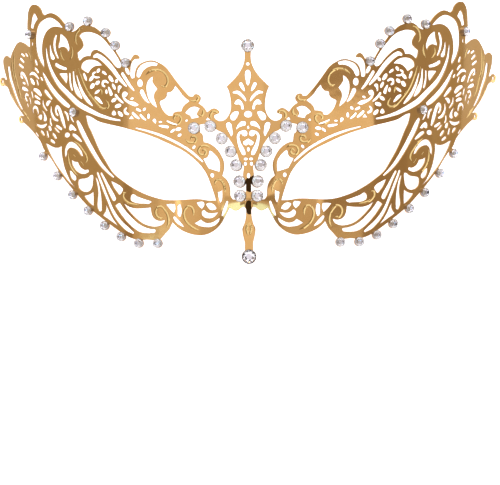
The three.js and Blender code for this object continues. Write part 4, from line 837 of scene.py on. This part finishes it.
def sheet_piece():
    """The bent sheet with its bevelled cut edges: front and back on the same triangles, and at every rim
    edge a bevel, a wall and a second bevel."""
    rim, inward = rim_of(flat, faces)
    inset = flat + inward * EDGE_BEVEL
    half = SHEET_THICKNESS / 2
    front, facing = bent(inset, half - depth)
    back, _ = bent(inset, -half)
    front_edge, _ = bent(flat, half - EDGE_BEVEL)
    back_edge, _ = bent(flat, EDGE_BEVEL - half)
    places = in_row(np.vstack([front, front_edge, back_edge, back]))
    a, b = rim.T
    count = len(flat)
    rings = [np.column_stack([b + i * count, a + i * count, a + (i + 1) * count, b + (i + 1) * count])
             for i in range(3)]
    polygons = [*faces.tolist(), *(faces[:, ::-1] + 3 * count).tolist(), *np.vstack(rings).tolist()]
    finishes = np.concatenate([finish, np.full(len(faces), PLAIN), np.full(3 * len(rim), CUT)])
    piece = new_piece("filigree_sheet", places, polygons, "gold_metal", "filigree_plate")
    mesh = piece.data
    for material in (gold, painted_shade_cut_edge, etched_gold, painted_shade_gold, painted_reflection_gold):
        mesh.materials.append(material)
    mesh.polygons.foreach_set("use_smooth", np.ones(len(finishes), bool))
    plane = np.array([p.normal for p in mesh.polygons])
    surface = facing @ TILT.T
    # The flank of an engraved line that leans right and up gets the painted shade material
    lean = (plane[:len(faces)] - surface[faces].mean(1)) @ TILT @ SHADED_LEAN
    finishes[:len(faces)][(finish == ETCHED) & (lean > 0)] = SHADED
    mesh.polygons.foreach_set("material_index", finishes)
    normals = np.repeat(plane, [p.loop_total for p in mesh.polygons], axis=0)
    total = 3 * len(faces)
    corners = faces.ravel()
    sides = np.flatnonzero(np.repeat(finish == ETCHED, 3) & (depth[corners] == 0))
    flanks = flank_normals(normals[sides], surface[corners[sides]])
    normals[:total] = surface[corners]
    normals[sides] = flanks
    normals[total:2 * total] = -surface[faces[:, ::-1].ravel()]
    mesh.normals_split_custom_set(normals.tolist())


# The stones

CUP_WALL, DISH_FACET, CRYSTAL = range(3)
# The walls between a gem's rings of points: the number of the first ring, and the finish
GEM_WALLS = [(0, CUP_WALL), (1, CUP_WALL), (2, CUP_WALL), (3, DISH_FACET), (5, CRYSTAL), (6, CRYSTAL)]


def gem_mesh(width):
    """A round cut stone over its foil dish, upright along Z, in millimetres, and the material of each face.
    Everything is rings of sixteen points. The dish is a closed cup: outer wall, lip and the slanted mirror
    facets inside. The stone follows the dish below, a hair above it. Its crown has an eight-sided table,
    eight points between it and the girdle that carry the star and kite facets, and sixteen small facets
    along the girdle."""
    radius = width / 2
    around = np.arange(GEM_SIDES) * 2 * math.pi / GEM_SIDES

    def ring(r, z, picked=around):
        return np.column_stack([r * np.cos(picked), r * np.sin(picked), np.full(len(picked), z)])

    lip = radius + CUP_LIP
    shoulder = GIRDLE_HIGH + SHOULDER_RISE * (STONE_TOP - GIRDLE_HIGH)
    places = np.vstack([
        ring(lip, -CUP_SINK), ring(lip, GIRDLE_HIGH), ring(radius + FOIL_GAP, GIRDLE_HIGH),
        ring(radius + FOIL_GAP, GIRDLE_LOW - FOIL_GAP), ring(CULET * radius, DISH_BOTTOM - FOIL_GAP),
        ring(CULET * radius, DISH_BOTTOM), ring(radius, GIRDLE_LOW), ring(radius, GIRDLE_HIGH),
        ring(STONE_SHOULDER * radius, shoulder, around[1::2]),
        ring(STONE_TABLE * radius, STONE_TOP, around[::2]),
    ])
    # the first point of the dish's floor, the stone's culet, its upper girdle and the ring above that
    dish, stone, girdle, middle = (GEM_SIDES * number for number in (4, 5, 7, 8))
    half = GEM_SIDES // 2
    table = middle + half
    polygons = [
        list(range(GEM_SIDES - 1, -1, -1)),
        list(range(dish, dish + GEM_SIDES)),
        list(range(stone + GEM_SIDES - 1, stone - 1, -1)),
    ]
    kinds = [CUP_WALL, DISH_FACET, CRYSTAL]
    for number, kind in GEM_WALLS:
        a = GEM_SIDES * number
        b = a + GEM_SIDES
        for i in range(GEM_SIDES):
            j = (i + 1) % GEM_SIDES
            polygons.append([a + i, a + j, b + j, b + i])
            kinds.append(kind)
    for i in range(half):
        j = (i + 1) % half
        before, here, after = 2 * i, 2 * i + 1, (2 * i + 2) % GEM_SIDES
        polygons += [
            [girdle + before, girdle + here, middle + i], [girdle + here, girdle + after, middle + i],
            [table + i, girdle + before, middle + i], [table + i, middle + i, table + j],
            [table + j, middle + i, girdle + after],
        ]
        kinds += 5 * [CRYSTAL]
    polygons.append(list(range(table, table + half)))
    kinds.append(CRYSTAL)
    return places, polygons, kinds


def stone_piece(name, node, s, y, width, random):
    """A stone on its place of the sheet, turned at random about its own axis, with a painted reflection
    tone, picked at random, for each face. The flat bottom of the dish, which shows through the table, is
    always painted bright."""
    places, polygons, kinds = gem_mesh(width)
    place, facing = bent(np.array([[s, y]]), SHEET_THICKNESS / 2)
    spin = Matrix.Rotation(random.uniform(0, 1), 3, "Z")
    turn = Vector(facing[0]).to_track_quat("Z", "Y").to_matrix() @ spin
    piece = new_piece(name, in_row(places @ np.array(turn).T + place[0]), polygons, "clear_stone", node)
    mesh = piece.data
    for material in (cup_wall, dish_foil, crystal):
        mesh.materials.append(material)
    mesh.polygons.foreach_set("material_index", kinds)
    # Painted reflection tone of each face, read by the foil
    painted_glint = mesh.attributes.new("painted_glint", "FLOAT", "FACE")
    tones = random.uniform(0, 1, len(kinds))
    tones[1] = 1
    painted_glint.data.foreach_set("value", tones)


# Materials


def new_material(name, **sockets):
    material = bpy.data.materials.new(name)
    material.use_nodes = True
    shader = material.node_tree.nodes["Principled BSDF"]
    for socket, value in sockets.items():
        shader.inputs[socket.replace("_", " ")].default_value = value
    return material


def add_node(tree, kind, **sockets):
    node = tree.nodes.new(kind)
    for socket, value in sockets.items():
        entry = node.inputs[socket.replace("_", " ")]
        if isinstance(value, bpy.types.NodeSocket):
            tree.links.new(value, entry)
        else:
            entry.default_value = value
    return node


def ramp(tree, factor, *stops):
    """A colour ramp through (position, colour) stops, read as a colour."""
    node = tree.nodes.new("ShaderNodeValToRGB")
    tree.links.new(factor, node.inputs["Fac"])
    elements = node.color_ramp.elements
    while len(elements) < len(stops):
        elements.new(0.5)
    for element, (position, colour) in zip(elements, stops):
        element.position = position
        element.color = (*colour, 1)
    return node.outputs["Color"]


def plating_group():
    """Plated metal: a mask of soft clouds in the plating, and the small waves and scratches of its surface
    as a normal."""
    group = bpy.data.node_groups.new("plating", "ShaderNodeTree")
    group.interface.new_socket("Cloud", in_out="OUTPUT", socket_type="NodeSocketFloat")
    group.interface.new_socket("Normal", in_out="OUTPUT", socket_type="NodeSocketVector")
    output = group.nodes.new("NodeGroupOutput")
    place = group.nodes.new("ShaderNodeTexCoord").outputs["Object"]
    cloud = add_node(group, "ShaderNodeTexNoise", Vector=place, Scale=90.0, Detail=4.0, Roughness=0.6)
    wave = add_node(group, "ShaderNodeTexNoise", Vector=place, Scale=160.0, Detail=2.0, Roughness=0.5)
    grain = add_node(group, "ShaderNodeTexNoise", Vector=place, Scale=2500.0, Detail=2.0, Roughness=0.6)
    waves = add_node(group, "ShaderNodeBump", Height=wave.outputs["Fac"], Strength=1.0,
                     Distance=WAVE_HEIGHT * MM)
    grains = add_node(group, "ShaderNodeBump", Height=grain.outputs["Fac"], Normal=waves.outputs["Normal"],
                      Strength=1.0, Distance=GRAIN_HEIGHT * MM)
    group.links.new(cloud.outputs["Fac"], output.inputs["Cloud"])
    group.links.new(grains.outputs["Normal"], output.inputs["Normal"])
    return group


plating = plating_group()


def gold_material(name, light, dark, roughness):
    """Gold plating between two tones of it."""
    material = new_material(name, Metallic=1.0, Roughness=roughness)
    tree = material.node_tree
    shader = tree.nodes["Principled BSDF"]
    effect = tree.nodes.new("ShaderNodeGroup")
    effect.node_tree = plating
    colour = ramp(tree, effect.outputs["Cloud"], (CLOUD_DARK, dark), (CLOUD_LIGHT, light))
    tree.links.new(colour, shader.inputs["Base Color"])
    tree.links.new(effect.outputs["Normal"], shader.inputs["Normal"])
    return material


gold = gold_material("gold", (0.88, 0.54, 0.225), (0.85, 0.5, 0.19), 0.07)
# Cut walls and bevels, painted darker than the face: painted shade along the cut edges
painted_shade_cut_edge = gold_material("painted_shade_cut_edge", (0.45, 0.28, 0.12), (0.38, 0.23, 0.1), 0.3)
# Lit flank of the engraved lines: a rougher, part-metal finish whose pale cream tone is partly painted
# highlight
etched_gold = new_material("etched_gold", Base_Color=(1, 0.73, 0.31, 1), Metallic=0.35, Roughness=0.4)
# Dark flank of each engraved line: painted shade
painted_shade_gold = gold_material("painted_shade_gold", (0.36, 0.2, 0.065), (0.3, 0.16, 0.05), 0.4)
# Near-black brown for the stretches on the nose ridge: a painted dark reflection
painted_reflection_gold = gold_material("painted_reflection_gold", (0.06, 0.03, 0.01), (0.035, 0.016, 0.005), 0.3)

crystal = new_material("crystal", Base_Color=(0.97, 0.96, 1, 1), Roughness=0.0, IOR=1.56,
                       Transmission_Weight=1.0)
cup_wall = new_material("cup_wall", Base_Color=(0.3, 0.28, 0.3, 1), Metallic=1.0, Roughness=0.35)


def foil_material():
    """The mirror foil behind a stone: each facet has its own painted reflection tone, picked at random, and
    a few are painted dark.
    """
    material = new_material("dish_foil", Metallic=1.0, Roughness=0.05)
    tree = material.node_tree
    painted_glint = tree.nodes.new("ShaderNodeAttribute")
    painted_glint.attribute_name = "painted_glint"
    colour = ramp(tree, painted_glint.outputs["Fac"], (0.0, (0.04, 0.04, 0.06)), (0.1, (0.1, 0.1, 0.13)),
                  (0.16, (0.75, 0.75, 0.9)), (1.0, (0.95, 0.95, 1.0)))
    tree.links.new(colour, tree.nodes["Principled BSDF"].inputs["Base Color"])
    return material


dish_foil = foil_material()


# The mask

sheet_piece()
chance = np.random.default_rng(GEM_SEED)
stone_piece("crown_gem", "crown_stone", *CROWN_STONE, CROWN_WIDTH, chance)
stone_piece("drop_gem", "drop_stone", *DROP_STONE, DROP_WIDTH, chance)
for group, stones, width in STONE_GROUPS:
    for i, (s, y) in enumerate(stones, 1):
        for side, way in (("left", -1), ("right", 1)):
            node = f"{group}_{side}_{i}"
            stone_piece(node.replace("stone", "gem"), node, way * s, y, width, chance)


# The stage

mask_frame = Matrix.Translation(PLACE.tolist()) @ Matrix.Rotation(LYING_TILT, 4, "X")


def on_stage(name, data, azimuth, side, height, distance):
    """An object that looks back at the mask, placed in the mask's own frame in millimetres, with its place
    and its look turned together about the mask's upright axis."""
    thing = bpy.data.objects.new(name, data)
    bpy.context.scene.collection.objects.link(thing)
    place = Matrix.Translation(Vector((side, height, distance)) * MM)
    thing.matrix_world = mask_frame @ Matrix.Rotation(azimuth, 4, "Y") @ place
    return thing


def soft_box(name, left, right, low, high, brightness, tint=(1, 1, 1)):
    """A soft box by the edges that the mask sees, in degrees to the right of straight ahead and up. It
    stands upright and faces the mask's axis. Its power is its brightness times pi times its area."""
    middle = math.radians((left + right) / 2)
    low, high = (BOX_DISTANCE * math.tan(math.radians(edge)) for edge in (low, high))
    width = 2 * BOX_DISTANCE * math.tan(math.radians(right - left) / 2)
    data = bpy.data.lights.new(name, "AREA")
    data.shape = "RECTANGLE"
    data.size = width * MM
    data.size_y = (high - low) * MM
    data.energy = brightness * math.pi * data.size * data.size_y
    data.color = tint
    on_stage(name, data, middle, 0, (low + high) / 2, BOX_DISTANCE)


def floor():
    """The pale ground the mask lies on: a band of white paper from front to back, fading into grey beside
    it."""
    mesh = bpy.data.meshes.new("floor")
    reach = FLOOR_REACH * MM
    corners = [(-reach, -reach, 0), (reach, -reach, 0), (reach, reach, 0), (-reach, reach, 0)]
    mesh.from_pydata(corners, [], [(0, 1, 2, 3)])
    ground = bpy.data.objects.new("floor", mesh)
    bpy.context.scene.collection.objects.link(ground)
    material = new_material("floor", Roughness=0.6, Emission_Strength=1.0)
    tree = material.node_tree
    shader = tree.nodes["Principled BSDF"]
    place = tree.nodes.new("ShaderNodeTexCoord").outputs["Object"]
    across = add_node(tree, "ShaderNodeSeparateXYZ", Vector=place).outputs["X"]
    away = add_node(tree, "ShaderNodeMath")
    away.operation = "ABSOLUTE"
    tree.links.new(across, away.inputs[0])
    share = add_node(tree, "ShaderNodeMapRange", Value=away.outputs["Value"],
                     From_Min=PAPER_WIDTH / 2 * MM,
                     From_Max=(PAPER_WIDTH / 2 + PAPER_FADE) * MM).outputs["Result"]
    paper = ramp(tree, share, (0.0, (0.88, 0.88, 0.9)), (1.0, (0.46, 0.46, 0.48)))
    glow = ramp(tree, share, (0.0, (0.68, 0.68, 0.74)), (1.0, (0, 0, 0)))
    tree.links.new(paper, shader.inputs["Base Color"])
    tree.links.new(glow, shader.inputs["Emission Color"])
    mesh.materials.append(material)


floor()

world = bpy.data.worlds.new("world")
world.use_nodes = True
world.node_tree.nodes["Background"].inputs["Color"].default_value = (*ROOM_LIGHT, 1)
bpy.context.scene.world = world

for box in SOFT_BOXES:
    soft_box(*box)

camera_data = bpy.data.cameras.new("camera")
camera_data.sensor_width = SENSOR
camera_data.lens = CAMERA_DISTANCE / PIXEL * SENSOR / PHOTO_WIDTH
camera = on_stage("camera", camera_data, 0, CAMERA_SIDE, CAMERA_HEIGHT, CAMERA_DISTANCE)
camera.matrix_world = camera.matrix_world @ Matrix.Rotation(-CAMERA_ROLL, 4, "Z")
bpy.context.scene.camera = camera
bpy.context.scene.view_settings.view_transform = "Standard"
